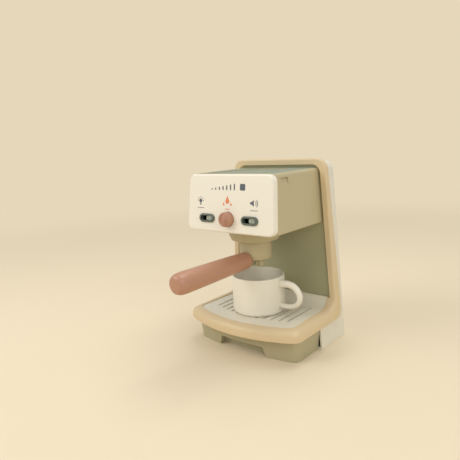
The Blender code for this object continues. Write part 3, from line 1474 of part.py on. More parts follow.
SUCTION_BEND = (
    (0.0165, 0.0205, 0.0010),
    (0.0055, 0.0195, -0.0005),
    (-0.0035, 0.0180, 0.0000),
    (-0.0099, 0.0154, 0.0000),
    (-0.0125, 0.0090, 0.0000),
    (-0.0099, 0.0026, 0.0000),
)
OUTLET_BEND = (
    (-0.0260, -0.0130, 0.0200),
    (-0.0160, -0.0165, 0.0175),
    (-0.0060, -0.0140, 0.0140),
    (-0.0010, -0.0070, 0.0105),
    (0.0000, -0.0012, 0.0075),
)
TUBE_STEPS = 3


def straight(start, direction):
    """Three points along a line, so that a tube leaves its end squarely."""
    return [Vector(start) + Vector(direction) * TUBE_RADIUS * k for k in range(3)]


def water_tubes(look):
    middle = PUMP_START + PUMP_WIDTH / 2
    inlet = PUMP_START - PORT_LENGTH - GAP
    port = PUMP_REACH + PUMP_RADIUS + PORT_LENGTH + GAP
    suction = straight((NIPPLE_ACROSS, -NIPPLE_REACH, TANK_BOTTOM - NIPPLE_LENGTH - GAP), (0, 0, -1))
    inlet_place = Vector((inlet, -PUMP_REACH, PUMP_HEIGHT))
    suction += [inlet_place + Vector(point) for point in SUCTION_BEND]
    suction += reversed(straight((inlet, -PUMP_REACH, PUMP_HEIGHT), (-1, 0, 0)))
    outlet = straight((middle, -port, PUMP_HEIGHT), (0, -1, 0))
    group_place = Vector((0, -GROUP_REACH, HEAD_BOTTOM))
    outlet += [group_place + Vector(point) for point in OUTLET_BEND]
    outlet += reversed(straight((0, -GROUP_REACH, HEAD_BOTTOM + GAP), (0, 0, 1)))
    tube("suction_tube", smooth_path(suction, TUBE_STEPS), TUBE_RADIUS, look["tube"])
    tube("outlet_tube", smooth_path(outlet, TUBE_STEPS), TUBE_RADIUS, look["tube"])


# Speaker

SPEAKER_RIM = 0.0025
MAGNET_RADIUS = 0.0085
MAGNET_DEPTH = 0.0045


def speaker(look):
    cone = SPEAKER_DEPTH - MAGNET_DEPTH
    profile = [
        (0, -cone / 2),
        (SPEAKER_RADIUS * 0.3, -cone / 2),
        (SPEAKER_RADIUS - SPEAKER_RING, 0),
        (SPEAKER_RADIUS, 0),
        (SPEAKER_RADIUS, -SPEAKER_RIM),
        (MAGNET_RADIUS + SPEAKER_RING, -cone),
        (MAGNET_RADIUS, -cone),
        (MAGNET_RADIUS, -SPEAKER_DEPTH),
        (0, -SPEAKER_DEPTH),
    ]
    item = turned("speaker", profile, look["black"], ROUND_SIDES)
    return placed(item, (0, BOX_REAR - GAP, SPEAKER_HEIGHT), (-math.pi / 2, 0, 0))


# Leads between the board and what it drives

LEAD_RADIUS = 0.0009
BATTERY_LEAD = (
    (0.0225, -0.0010, -0.0750),
    (0.0255, -0.0040, -0.0450),
    (0.0250, -0.0080, -0.0150),
    (0.0235, -0.0100, -0.0030),
    (0.0230, -0.0150, -0.0005),
    (0.0240, -0.0230, -0.0030),
    (0.0260, -0.0320, -0.0080),
    (0.0290, -0.0600, -0.0130),
    (0.0310, -0.0900, -0.0150),
)
SPEAKER_LEAD = (
    (0.0060, -0.0056, -0.0100),
    (0.0160, -0.0091, -0.0035),
    (0.0255, -0.0111, 0.0020),
    (0.0270, -0.0166, 0.0020),
    (0.0280, -0.0246, -0.0015),
    (0.0310, -0.0336, -0.0070),
    (0.0360, -0.0606, -0.0100),
    (0.0390, -0.0906, -0.0110),
)
PUMP_LEAD = (
    (0.0054, -0.0010, 0.0000),
    (0.0084, -0.0100, 0.0000),
    (0.0099, -0.0300, 0.0010),
)
BATTERY_LEAD_ACROSS = 0.021
BATTERY_LEAD_DEPTH = 0.006
BATTERY_LEAD_START = (BATTERY_LEAD_ACROSS, BOX_FRONT + BATTERY_LEAD_DEPTH)
BATTERY_LEAD_END = (0.030, -0.010)
SPEAKER_LEAD_END = (0.039, -0.006)
PUMP_LEAD_END = (0.014, -0.008)
PUMP_LEAD_RISE = 0.003


def behind_board(across, rise):
    """Two points square on the back of the board, the nearer one a clearance away."""
    turn = Matrix.Rotation(-PANEL_LEAN, 3, "X")
    back = BOARD_DEPTH + BOARD_THICKNESS + GAP
    near, far = (Vector((across, back + gap, rise)) for gap in (0, 4 * LEAD_RADIUS))
    return [PANEL_MIDDLE + turn @ far, PANEL_MIDDLE + turn @ near]


def leads(look):
    motor_end = MOTOR_START + MOTOR_LENGTH + GAP
    magnet = BOX_REAR - 2 * GAP - SPEAKER_DEPTH
    high = PUMP_HEIGHT + PUMP_LEAD_RISE
    hole = WIRE_HOLE_HEIGHT
    cells_start = (*BATTERY_LEAD_START, BOX_HIGH + GAP)
    motor_start = (motor_end, -PUMP_REACH, high)
    runs = {
        "battery_lead": (cells_start, (0, 0, 1), (0, cells_start[1], hole), BATTERY_LEAD, BATTERY_LEAD_END),
        "speaker_lead": ((0, magnet, SPEAKER_HEIGHT), (0, -1, 0), (0, magnet, hole), SPEAKER_LEAD,
                         SPEAKER_LEAD_END),
        "pump_lead": (motor_start, (1, 0, 0), motor_start, PUMP_LEAD, PUMP_LEAD_END),
    }
    for name, (start, direction, origin, bends, end) in runs.items():
        route = [Vector(start) + Vector(direction) * LEAD_RADIUS * 2 * k for k in range(3)]
        route += [Vector(origin) + Vector(point) for point in bends]
        route += behind_board(*end)
        tube(name, smooth_path(route, TUBE_STEPS), LEAD_RADIUS, look["black"], 1)


# Brewing group

COLLAR_TOP_RADIUS = 0.0370
COLLAR_MIDDLE_RADIUS = 0.0345
COLLAR_BOTTOM_RADIUS = 0.0315
COLLAR_STEP = 0.009
NECK_CLEARANCE = 0.0004
NECK_RADIUS = 0.0200
LUG_REACH = 0.0036
LUG_WIDTH = 0.010
LUG_HEIGHT = 0.0028
LIP_THICKNESS = 0.0028
NECK_HEIGHT = 0.0085
LUG_COUNT = 2
GROOVE_RADIUS = 0.0248
UNLOCK_ANGLE = math.radians(45)
CUP_WALL = 0.0022
CUP_FLOOR = 0.0030
DRAIN_RADIUS = 0.0024


def group_collar(look):
    khaki = look["khaki"]
    top = HEAD_BOTTOM - GAP
    lip_top = HOLDER_TOP + LIP_THICKNESS
    ceiling = lip_top + NECK_HEIGHT - LIP_THICKNESS + 2 * GAP
    profile = [
        (TUBE_RADIUS, top),
        (COLLAR_TOP_RADIUS, top),
        (COLLAR_TOP_RADIUS, top - COLLAR_STEP / 3),
        (COLLAR_MIDDLE_RADIUS, top - COLLAR_STEP),
        (COLLAR_BOTTOM_RADIUS + GAP, HOLDER_TOP + LIP_THICKNESS / 3),
        (COLLAR_BOTTOM_RADIUS - LIP_THICKNESS / 3, HOLDER_TOP),
        (NECK_RADIUS + NECK_CLEARANCE, HOLDER_TOP),
        (NECK_RADIUS + NECK_CLEARANCE, lip_top),
        (GROOVE_RADIUS, lip_top),
        (GROOVE_RADIUS, ceiling),
        (TUBE_RADIUS, ceiling),
    ]
    collar = turned("group_collar", profile, khaki, closed=True)
    placed(collar, (0, -GROUP_REACH, 0))
    gates = []
    for i in range(LUG_COUNT):
        turn = 2 * math.pi * i / LUG_COUNT - UNLOCK_ANGLE
        gate = box_outline(LUG_WIDTH / 2 + 2 * GAP, NECK_RADIUS - CUP_WALL, GROOVE_RADIUS - GAP)
        ends = (HOLDER_TOP - OVERRUN, lip_top + LUG_HEIGHT / 2)
        tool = lofted(f"collar_gate_{i + 1}", [on_plan(gate, z) for z in ends], khaki)
        gates.append(placed(tool, (0, -GROUP_REACH, 0), (0, 0, turn + math.pi / 2)))
    return cut(collar, gathered("collar_gates", gates))


def filter_holder(look):
    khaki = look["khaki"]
    lock = axis("filter_holder_turn", (0, -GROUP_REACH, HOLDER_BOTTOM))
    height = HOLDER_TOP - HOLDER_BOTTOM - GAP
    neck = height + NECK_HEIGHT
    cup = NECK_RADIUS - CUP_WALL
    profile = [
        (DRAIN_RADIUS, 0),
        (HOLDER_RADIUS - FRAME_EDGE_RADIUS, 0),
        (HOLDER_RADIUS - FRAME_EDGE_RADIUS / 4, FRAME_EDGE_RADIUS / 4),
        (HOLDER_RADIUS, FRAME_EDGE_RADIUS),
        (HOLDER_RADIUS, height),
        (NECK_RADIUS, height),
        (NECK_RADIUS, neck),
        (cup, neck),
        (cup, CUP_FLOOR),
        (DRAIN_RADIUS, CUP_FLOOR),
    ]
    holder = turned("filter_holder", profile, khaki, closed=True)
    lugs = []
    low = height + LIP_THICKNESS + 2 * GAP
    for i in range(LUG_COUNT):
        lug = box_outline(LUG_WIDTH / 2, NECK_RADIUS - CUP_WALL / 2, NECK_RADIUS + LUG_REACH)
        tool = lofted(f"holder_lug_{i + 1}", [on_plan(lug, z) for z in (low, low + LUG_HEIGHT)], khaki)
        lugs.append(placed(tool, (0, 0, 0), (0, 0, 2 * math.pi * i / LUG_COUNT + math.pi / 2)))
    stud = rod("holder_stud", STUD_RADIUS, HOLDER_RADIUS - CUP_WALL, HOLDER_RADIUS + STUD_LENGTH, khaki)
    placed(stud, (0, 0, STUD_RADIUS), (math.pi / 2, 0, 0))
    fittings = gathered("holder_fittings", [stud, *lugs])
    join(holder, fittings)
    carried(lock, holder, fittings)
    coffee_spout(lock, look)
    holder_handle(lock, look)


SPOUT_HALF_WIDTH = 0.0120
SPOUT_HALF_DEPTH = 0.0060
SPOUT_BLOCK = 0.0055
SPOUT_LENGTH = 0.0120
SPOUT_SPREAD = 0.0068
SPOUT_RADIUS = 0.0050
SPOUT_BORE = 0.0021


def coffee_spout(lock, look):
    """A block under the holder with two nozzles, bored through from a channel in its top."""
    khaki = look["khaki"]
    top = -GAP
    low = -SPOUT_BLOCK
    block = box_outline(SPOUT_HALF_WIDTH, -SPOUT_HALF_DEPTH, SPOUT_HALF_DEPTH, SPOUT_HALF_DEPTH / 2)
    spout = lofted("coffee_spout", [on_plan(block, z) for z in (low, top)], khaki)
    groove = box_outline(SPOUT_SPREAD, -SPOUT_BORE, SPOUT_BORE)
    channel = lofted("spout_channel", [on_plan(groove, z) for z in (low / 2, top + OVERRUN)], khaki)
    profile = [
        (0, low / 2),
        (SPOUT_RADIUS, low / 2),
        (SPOUT_RADIUS, (low - SPOUT_LENGTH) / 2),
        (SPOUT_RADIUS * 0.8, -SPOUT_LENGTH),
        (0, -SPOUT_LENGTH),
    ]
    nozzles = []
    bores = []
    for side, word in ((-1, "left"), (1, "right")):
        place = (side * SPOUT_SPREAD, 0, 0)
        nozzles.append(placed(turned(f"spout_nozzle_{word}", profile, khaki, SMALL_SIDES), place))
        bore = rod(f"spout_bore_{word}", SPOUT_BORE, -SPOUT_LENGTH - OVERRUN, low / 3, khaki)
        bores.append(placed(bore, place))
    nozzle_pair = gathered("spout_nozzles", nozzles)
    bore_pair = gathered("spout_bores", bores)
    join(spout, nozzle_pair)
    cut(spout, channel, bore_pair)
    carried(lock, spout, channel, nozzle_pair, bore_pair)


STUD_RADIUS = 0.0038
STUD_LENGTH = 0.024
HANDLE_CLEARANCE = 0.0004
HANDLE_START = 0.0172
HANDLE_RADII = (
    (0.0, 0.0093),
    (0.0030, 0.0094),
    (0.0052, 0.0108),
    (0.0100, 0.0113),
    (0.0600, 0.0122),
    (0.1180, 0.0130),
    (0.1235, 0.0128),
    (0.1280, 0.0118),
    (0.1310, 0.0097),
    (0.1325, 0.0064),
    (0.1330, 0.0),
)


def holder_handle(lock, look):
    """The grip, hollowed at its inner end to sit round the holder, on the holder's stud."""
    terracotta = look["terracotta"]
    profile = [(0, HANDLE_START)] + [(radius, HANDLE_START + along) for along, radius in HANDLE_RADII]
    handle = placed(turned("holder_handle", profile, terracotta), (0, 0, 0), (math.pi / 2, 0, 0))
    reach = 2 * HANDLE_START
    saddle = rod("handle_saddle", HOLDER_RADIUS + HANDLE_CLEARANCE, -reach, reach, terracotta, ROUND_SIDES)
    bore = rod("handle_bore", STUD_RADIUS + HANDLE_CLEARANCE, 0, HOLDER_RADIUS + STUD_LENGTH + 2 * GAP,
               terracotta)
    placed(bore, (0, 0, STUD_RADIUS), (math.pi / 2, 0, 0))
    cut(handle, saddle, bore)
    carried(lock, handle, saddle, bore)


# Mug

MUG_WALL = 0.0026
MUG_FLOOR = 0.0030
MUG_FOOT_RADIUS = 0.0022
MUG_EAR = (
    (0.0325, 0.0400, 0.0050),
    (0.0400, 0.0415, 0.0048),
    (0.0500, 0.0420, 0.0047),
    (0.0585, 0.0390, 0.0044),
    (0.0640, 0.0325, 0.0038),
    (0.0655, 0.0240, 0.0035),
    (0.0625, 0.0160, 0.0034),
    (0.0555, 0.0105, 0.0034),
    (0.0460, 0.0093, 0.0034),
    (0.0325, 0.0115, 0.0036),
)
MUG_EAR_STEPS = 2
MUG_EAR_DEPTH = 0.0042
MUG_EAR_SIDES = 12
MUG_SIDES = 48


def mug_ear(look):
    """The mug's handle: a bar of changing thickness along a bow in the plane of its middle."""
    route = smooth_path(MUG_EAR, MUG_EAR_STEPS)
    rings = []
    for i, (across, rise, radius) in enumerate(route):
        before = route[max(0, i - 1)]
        after = route[min(len(route) - 1, i + 1)]
        out = Vector((before.y - after.y, 0, after.x - before.x)).normalized()
        ring = []
        for k in range(MUG_EAR_SIDES):
            turn = 2 * math.pi * k / MUG_EAR_SIDES
            middle = Vector((across, 0, rise))
            ring.append(middle + out * radius * math.cos(turn) + Vector((0, MUG_EAR_DEPTH * math.sin(turn), 0)))
        rings.append(ring)
    return lofted("mug_ear", rings, look["white"])


def mug(look):
    white = look["white"]
    stand = axis("mug_stand", (0, -MUG_REACH, TRAY_TOP + GAP))
    foot = [(MUG_RADIUS - inset, depth) for depth, inset in round_edge(MUG_FOOT_RADIUS)]
    lip = MUG_WALL / 4
    outside = [(0, 0), *foot, (MUG_RADIUS, MUG_HEIGHT - lip), (MUG_RADIUS - lip, MUG_HEIGHT), (0, MUG_HEIGHT)]
    cup = turned("mug", outside, white, MUG_SIDES)
    ear = mug_ear(look)
    inner = MUG_RADIUS - MUG_WALL
    rise = [(inner - inset, MUG_FLOOR + depth) for depth, inset in round_edge(MUG_FOOT_RADIUS)]
    inside = [
        (0, MUG_FLOOR),
        *rise,
        (inner, MUG_HEIGHT - lip),
        (inner + lip + OVERRUN, MUG_HEIGHT + OVERRUN),
        (0, MUG_HEIGHT + OVERRUN),
    ]
    hollow = turned("mug_inside", inside, white, MUG_SIDES)
    join(cup, ear)
    cut(cup, hollow)
    carried(stand, cup, ear, hollow)


def main():
    clear_scene()
    look = finishes()
    back_frame(look)
    rear_cover(look)
    base_box(look)
    drip_tray(look)
    head_housing(look)
    water_tank(look)
    tank_lid(look)
    plane = axis("panel_plane", PANEL_MIDDLE, (-PANEL_LEAN, 0, 0))
    front_panel(plane, look)
    circuit_board(plane, look)
    slide_switch("light", -1, plane, look)
    slide_switch("sound", 1, plane, look)
    water_button(plane, look)
    lamp(plane, look)
    pump(look)
    water_tubes(look)
    speaker(look)
    leads(look)
    battery_box(look)
    cells(look)
    contact("battery_contact_left", -1, look)
    contact("battery_contact_right", 1, look)
    battery_door(look)
    screws(look)
    group_collar(look)
    filter_holder(look)
    mug(look)


main()
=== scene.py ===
import math

import bmesh
import bpy
from mathutils import Matrix, Vector


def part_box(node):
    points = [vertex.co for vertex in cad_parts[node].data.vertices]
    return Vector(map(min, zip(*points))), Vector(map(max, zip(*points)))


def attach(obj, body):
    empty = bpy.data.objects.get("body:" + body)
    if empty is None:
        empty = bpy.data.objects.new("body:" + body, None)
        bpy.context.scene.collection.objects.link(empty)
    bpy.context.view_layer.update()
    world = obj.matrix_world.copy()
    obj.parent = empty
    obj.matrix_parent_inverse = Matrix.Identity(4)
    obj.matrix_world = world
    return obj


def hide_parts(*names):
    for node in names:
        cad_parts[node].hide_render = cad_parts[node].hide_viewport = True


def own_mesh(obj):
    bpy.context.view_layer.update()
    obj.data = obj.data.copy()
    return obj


# Toy coffee maker: its surfaces, finishes, light and camera. Metres, +Z up, front towards -Y.

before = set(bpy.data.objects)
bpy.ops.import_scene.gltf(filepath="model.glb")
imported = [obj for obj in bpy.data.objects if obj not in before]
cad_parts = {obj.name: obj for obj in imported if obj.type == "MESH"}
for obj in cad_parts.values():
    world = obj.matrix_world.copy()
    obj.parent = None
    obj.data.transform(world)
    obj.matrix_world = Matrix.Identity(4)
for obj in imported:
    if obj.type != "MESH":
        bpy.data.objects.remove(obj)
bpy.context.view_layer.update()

# Places taken from the frame
PANEL_LEAN = math.atan(0.0074 / 0.072)
PANEL_MIDDLE = (0, -0.1071, 0.197)
CONTROL_DROP = 0.0191
GROUP_REACH = 0.055
HOLDER_BOTTOM = 0.119
HEAD_BOTTOM = 0.1607
MUG_PLACE = (0, -0.0523, 0.0453)

# On the panel's face: x across, y up the panel, z out of it
FACE = (
    Matrix.Translation(PANEL_MIDDLE)
    @ Matrix.Rotation(-PANEL_LEAN, 4, "X")
    @ Matrix.Rotation(math.pi / 2, 4, "X")
)


# Shader node groups


def group(name, inputs, outputs):
    """An empty node group with named sockets."""
    tree = bpy.data.node_groups.new(name, "ShaderNodeTree")
    for label, kind, value in inputs:
        socket = tree.interface.new_socket(name=label, in_out="INPUT", socket_type=kind)
        if value is not None:
            socket.default_value = value
    for label, kind in outputs:
        tree.interface.new_socket(name=label, in_out="OUTPUT", socket_type=kind)
    start = tree.nodes.new("NodeGroupInput")
    end = tree.nodes.new("NodeGroupOutput")
    return tree, start, end


def node(tree, kind, inputs=None, **settings):
    """Adds a node, sets its properties, and sets or links its inputs."""
    item = tree.nodes.new(kind)
    for key, value in settings.items():
        setattr(item, key, value)
    for key, value in (inputs or {}).items():
        if isinstance(value, bpy.types.NodeSocket):
            tree.links.new(value, item.inputs[key])
        else:
            item.inputs[key].default_value = value
    return item


def noise(tree, vector, scale, detail=3.0, roughness=0.5, distortion=0.0):
    item = node(
        tree,
        "ShaderNodeTexNoise",
        {"Vector": vector, "Scale": scale, "Detail": detail, "Roughness": roughness,
         "Distortion": distortion},
    )
    return item.outputs["Fac"]


def spread(tree, value, low, high, to_low=0.0, to_high=1.0):
    """Maps a value from one range to another."""
    item = node(
        tree,
        "ShaderNodeMapRange",
        {"Value": value, "From Min": low, "From Max": high, "To Min": to_low, "To Max": to_high},
    )
    return item.outputs["Result"]


def sums(tree, operation, first, second):
    item = node(tree, "ShaderNodeMath", {0: first, 1: second}, operation=operation)
    return item.outputs["Value"]


def blend_colours(tree, share, first, second):
    item = node(tree, "ShaderNodeMix", {"Factor": share, "A": first, "B": second}, data_type="RGBA")
    return item.outputs["Result"]


def bumpy(tree, shader, height, strength, distance):
    bump = node(tree, "ShaderNodeBump", {"Height": height, "Strength": strength, "Distance": distance})
    tree.links.new(bump.outputs["Normal"], shader.inputs["Normal"])


def make_moulded_plastic():
    """Injection-moulded plastic: flow clouds, spark-eroded grain, smudges, rubbed edges and settled dust."""
    tree, start, end = group(
        "moulded_plastic",
        [
            ("Vector", "NodeSocketVector", None),
            ("Plastic", "NodeSocketColor", (0.5, 0.5, 0.5, 1)),
            ("Cloud", "NodeSocketColor", (0.4, 0.4, 0.4, 1)),
            ("Rubbed", "NodeSocketColor", (0.6, 0.6, 0.6, 1)),
            ("Dust", "NodeSocketColor", (0.7, 0.68, 0.62, 1)),
            ("Gloss Level", "NodeSocketFloat", 0.4),
            ("Grain Size", "NodeSocketFloat", 1500.0),
            ("Rubbing", "NodeSocketFloat", 0.4),
            ("Dustiness", "NodeSocketFloat", 0.15),
        ],
        [("Color", "NodeSocketColor"), ("Roughness", "NodeSocketFloat"), ("Height", "NodeSocketFloat")],
    )
    vector = start.outputs["Vector"]
    clouds = spread(tree, noise(tree, vector, 22.0, 4.0, 0.55, 0.6), 0.35, 0.68)
    flow = spread(tree, noise(tree, vector, 5.0, 2.0, 0.5, 1.2), 0.4, 0.62)
    cloud_share = sums(tree, "MULTIPLY", sums(tree, "ADD", clouds, flow), 0.28)
    plain = blend_colours(tree, cloud_share, start.outputs["Plastic"], start.outputs["Cloud"])
    soft_normal = node(tree, "ShaderNodeBevel", {"Radius": 0.0009}, samples=4).outputs["Normal"]
    geometry = node(tree, "ShaderNodeNewGeometry")
    meeting = node(
        tree, "ShaderNodeVectorMath", {0: soft_normal, 1: geometry.outputs["Normal"]}, operation="DOT_PRODUCT"
    ).outputs["Value"]
    edge = spread(tree, meeting, 0.995, 0.90)
    patchy = spread(tree, noise(tree, vector, 160.0, 3.0, 0.6), 0.38, 0.62)
    edge_share = sums(tree, "MULTIPLY", sums(tree, "MULTIPLY", edge, patchy), start.outputs["Rubbing"])
    worn = blend_colours(tree, edge_share, plain, start.outputs["Rubbed"])
    facing = node(tree, "ShaderNodeSeparateXYZ", {"Vector": geometry.outputs["Normal"]}).outputs["Z"]
    upward = spread(tree, facing, 0.55, 1.0)
    flecks = spread(tree, noise(tree, vector, 420.0, 5.0, 0.7), 0.5, 0.72)
    drift = spread(tree, noise(tree, vector, 30.0, 2.0), 0.3, 0.7)
    dust_share = sums(tree, "MULTIPLY", sums(tree, "MULTIPLY", flecks, drift), upward)
    dust_share = sums(tree, "MULTIPLY", dust_share, start.outputs["Dustiness"])
    tree.links.new(blend_colours(tree, dust_share, worn, start.outputs["Dust"]), end.inputs["Color"])
    smudges = spread(tree, noise(tree, vector, 48.0, 4.0, 0.6, 0.8), 0.3, 0.7, -0.06, 0.07)
    dulled = sums(tree, "ADD", smudges, sums(tree, "MULTIPLY", dust_share, 0.5))
    tree.links.new(sums(tree, "ADD", start.outputs["Gloss Level"], dulled), end.inputs["Roughness"])
    grain_vector = node(
        tree, "ShaderNodeVectorMath", {0: vector, "Scale": start.outputs["Grain Size"]}, operation="SCALE"
    ).outputs["Vector"]
    grain = noise(tree, grain_vector, 1.0, 2.0, 0.6)
    ripple = sums(tree, "MULTIPLY", noise(tree, vector, 40.0, 1.0), 0.8)
    tree.links.new(sums(tree, "ADD", grain, ripple), end.inputs["Height"])
    return tree


def make_fine_scratches():
    """Hair-fine scratches in two directions."""
    tree, start, end = group(
        "fine_scratches",
        [("Vector", "NodeSocketVector", None)],
        [("Scratch", "NodeSocketFloat")],
    )
    vector = start.outputs["Vector"]
    lines = []
    for turn, stretch in ((0.35, 26.0), (-0.8, 19.0)):
        laid = node(
            tree,
            "ShaderNodeMapping",
            {"Vector": vector, "Rotation": (0.2, turn, turn), "Scale": (stretch, 1.0, stretch)},
        ).outputs["Vector"]
        lines.append(spread(tree, noise(tree, laid, 60.0, 2.0, 0.4), 0.64, 0.70))
    tree.links.new(sums(tree, "MAXIMUM", lines[0], lines[1]), end.inputs["Scratch"])
    return tree


PLASTIC = make_moulded_plastic()
SCRATCHES = make_fine_scratches()


# Finishes


def blank(name):
    material = bpy.data.materials.new(name)
    material.use_nodes = True
    tree = material.node_tree
    shader = tree.nodes["Principled BSDF"]
    place = node(tree, "ShaderNodeTexCoord").outputs["Object"]
    return material, tree, shader, place


def moulded(name, plastic, cloud, rubbed, gloss, grain=1500.0, depth=0.000025, rubbing=0.35, dustiness=0.12,
            coat=0.0, scratched=0.0, sheen=0.5):
    """One moulded plastic in its own colour, gloss, grain and wear."""
    material, tree, shader, place = blank(name)
    body = tree.nodes.new("ShaderNodeGroup")
    body.node_tree = PLASTIC
    tree.links.new(place, body.inputs["Vector"])
    for label, value in (
        ("Plastic", (*plastic, 1)),
        ("Cloud", (*cloud, 1)),
        ("Rubbed", (*rubbed, 1)),
        ("Gloss Level", gloss),
        ("Grain Size", grain),
        ("Rubbing", rubbing),
        ("Dustiness", dustiness),
    ):
        body.inputs[label].default_value = value
    tree.links.new(body.outputs["Color"], shader.inputs["Base Color"])
    roughness = body.outputs["Roughness"]
    height = body.outputs["Height"]
    if scratched:
        marks = tree.nodes.new("ShaderNodeGroup")
        marks.node_tree = SCRATCHES
        tree.links.new(place, marks.inputs["Vector"])
        amount = sums(tree, "MULTIPLY", marks.outputs["Scratch"], scratched)
        roughness = sums(tree, "ADD", roughness, amount)
        height = sums(tree, "SUBTRACT", height, amount)
    tree.links.new(roughness, shader.inputs["Roughness"])
    bumpy(tree, shader, height, 0.6, depth)
    shader.inputs["Specular IOR Level"].default_value = sheen
    shader.inputs["Coat Weight"].default_value = coat
    shader.inputs["Coat Roughness"].default_value = 0.25
    return material


def printed(name, ink, thin):
    """Pad-printed ink: a little uneven, with pinholes where the panel shows through."""
    material, tree, shader, place = blank(name)
    uneven = spread(tree, noise(tree, place, 900.0, 3.0, 0.6), 0.35, 0.75)
    pinholes = spread(tree, noise(tree, place, 3200.0, 2.0, 0.7), 0.68, 0.78)
    share = sums(tree, "MAXIMUM", sums(tree, "MULTIPLY", uneven, 0.35), pinholes)
    tree.links.new(blend_colours(tree, share, (*ink, 1), (*thin, 1)), shader.inputs["Base Color"])
    tree.links.new(spread(tree, uneven, 0.0, 1.0, 0.38, 0.55), shader.inputs["Roughness"])
    bumpy(tree, shader, uneven, 0.4, 0.00001)
    return material


def plated_steel(name):
    """Zinc-plated steel: pale crystals, turning marks and a dull film."""
    material, tree, shader, place = blank(name)
    crystals = node(tree, "ShaderNodeTexVoronoi", {"Vector": place, "Scale": 1400.0}, feature="F1")
    film = spread(tree, noise(tree, place, 300.0, 4.0, 0.6), 0.3, 0.7)
    both = sums(tree, "ADD", film, spread(tree, crystals.outputs["Distance"], 0, 1))
    tone = sums(tree, "MULTIPLY", both, 0.5)
    tree.links.new(
        blend_colours(tree, tone, (0.62, 0.61, 0.57, 1), (0.38, 0.38, 0.36, 1)), shader.inputs["Base Color"]
    )
    tree.links.new(spread(tree, film, 0.0, 1.0, 0.24, 0.42), shader.inputs["Roughness"])
    shader.inputs["Metallic"].default_value = 1.0
    marks = noise(tree, place, 2600.0, 2.0)
    bumpy(tree, shader, marks, 0.5, 0.00002)
    return material


def etched_board(name):
    """Green circuit board: weave of the base sheet, tracks under the lacquer and tinned pads."""
    material, tree, shader, place = blank(name)
    weave = node(
        tree, "ShaderNodeTexChecker", {"Vector": place, "Scale": 2200.0, "Color1": (0.02, 0.13, 0.05, 1),
                                       "Color2": (0.03, 0.17, 0.07, 1)}
    ).outputs["Color"]
    blocks = node(
        tree, "ShaderNodeTexVoronoi", {"Vector": place, "Scale": 240.0}, feature="F1", distance="MANHATTAN"
    )
    tracks = spread(tree, blocks.outputs["Distance"], 0.62, 0.66)
    pads = spread(tree, blocks.outputs["Distance"], 0.12, 0.10)
    lacquer = blend_colours(tree, sums(tree, "MULTIPLY", tracks, 0.7), weave, (0.06, 0.30, 0.12, 1))
    tree.links.new(blend_colours(tree, pads, lacquer, (0.66, 0.64, 0.58, 1)), shader.inputs["Base Color"])
    tree.links.new(pads, shader.inputs["Metallic"])
    tree.links.new(spread(tree, pads, 0.0, 1.0, 0.42, 0.28), shader.inputs["Roughness"])
    height = sums(tree, "ADD", sums(tree, "MULTIPLY", tracks, 0.5), pads)
    bumpy(tree, shader, height, 0.6, 0.00005)
    return material


def shrink_sleeve(name):
    """A cell's shrunk sleeve: dark body, copper-coloured band towards one end, plain of any words."""
    material, tree, shader, place = blank(name)
    across = node(tree, "ShaderNodeSeparateXYZ", {"Vector": place}).outputs["X"]
    band = spread(tree, across, 0.0118, 0.0122)
    sleeve = blend_colours(tree, band, (0.02, 0.022, 0.026, 1), (0.48, 0.24, 0.10, 1))
    ends = spread(tree, sums(tree, "ABSOLUTE", across, 0.0), 0.0242, 0.0244)
    tree.links.new(blend_colours(tree, ends, sleeve, (0.55, 0.55, 0.53, 1)), shader.inputs["Base Color"])
    tree.links.new(ends, shader.inputs["Metallic"])
    wrinkles = noise(tree, place, 260.0, 4.0, 0.6, 1.5)
    tree.links.new(spread(tree, wrinkles, 0.2, 0.8, 0.22, 0.38), shader.inputs["Roughness"])
    bumpy(tree, shader, wrinkles, 0.5, 0.00006)
    return material


def see_through(name, colour, clearness, gloss):
    """Clear or tinted plastic with faint clouding."""
    material, tree, shader, place = blank(name)
    clouding = noise(tree, place, 180.0, 3.0, 0.6)
    darker = tuple(value * 0.86 for value in colour)
    tree.links.new(
        blend_colours(tree, clouding, (*colour, 1), (*darker, 1)), shader.inputs["Base Color"]
    )
    tree.links.new(spread(tree, clouding, 0.2, 0.8, gloss, gloss + 0.12), shader.inputs["Roughness"])
    shader.inputs["Transmission Weight"].default_value = clearness
    shader.inputs["IOR"].default_value = 1.46
    bumpy(tree, shader, clouding, 0.3, 0.00003)
    return material


def pressed_paper(name):
    """The speaker's doped paper cone: fibres and pressed rings round its own middle."""
    material, tree, shader, place = blank(name)
    centred = node(
        tree, "ShaderNodeMapping", {"Vector": place, "Location": (0, 0, -0.190)}
    ).outputs["Vector"]
    fibres = noise(tree, centred, 700.0, 6.0, 0.7)
    rings = node(
        tree, "ShaderNodeTexWave", {"Vector": centred, "Scale": 160.0, "Distortion": 0.4}, wave_type="RINGS",
        rings_direction="Y",
    ).outputs["Fac"]
    tone = sums(tree, "MULTIPLY", sums(tree, "ADD", fibres, rings), 0.5)
    tree.links.new(
        blend_colours(tree, tone, (0.016, 0.015, 0.014, 1), (0.07, 0.066, 0.06, 1)),
        shader.inputs["Base Color"],
    )
    tree.links.new(spread(tree, fibres, 0.2, 0.8, 0.7, 0.9), shader.inputs["Roughness"])
    bumpy(tree, shader, tone, 0.7, 0.0001)
    return material


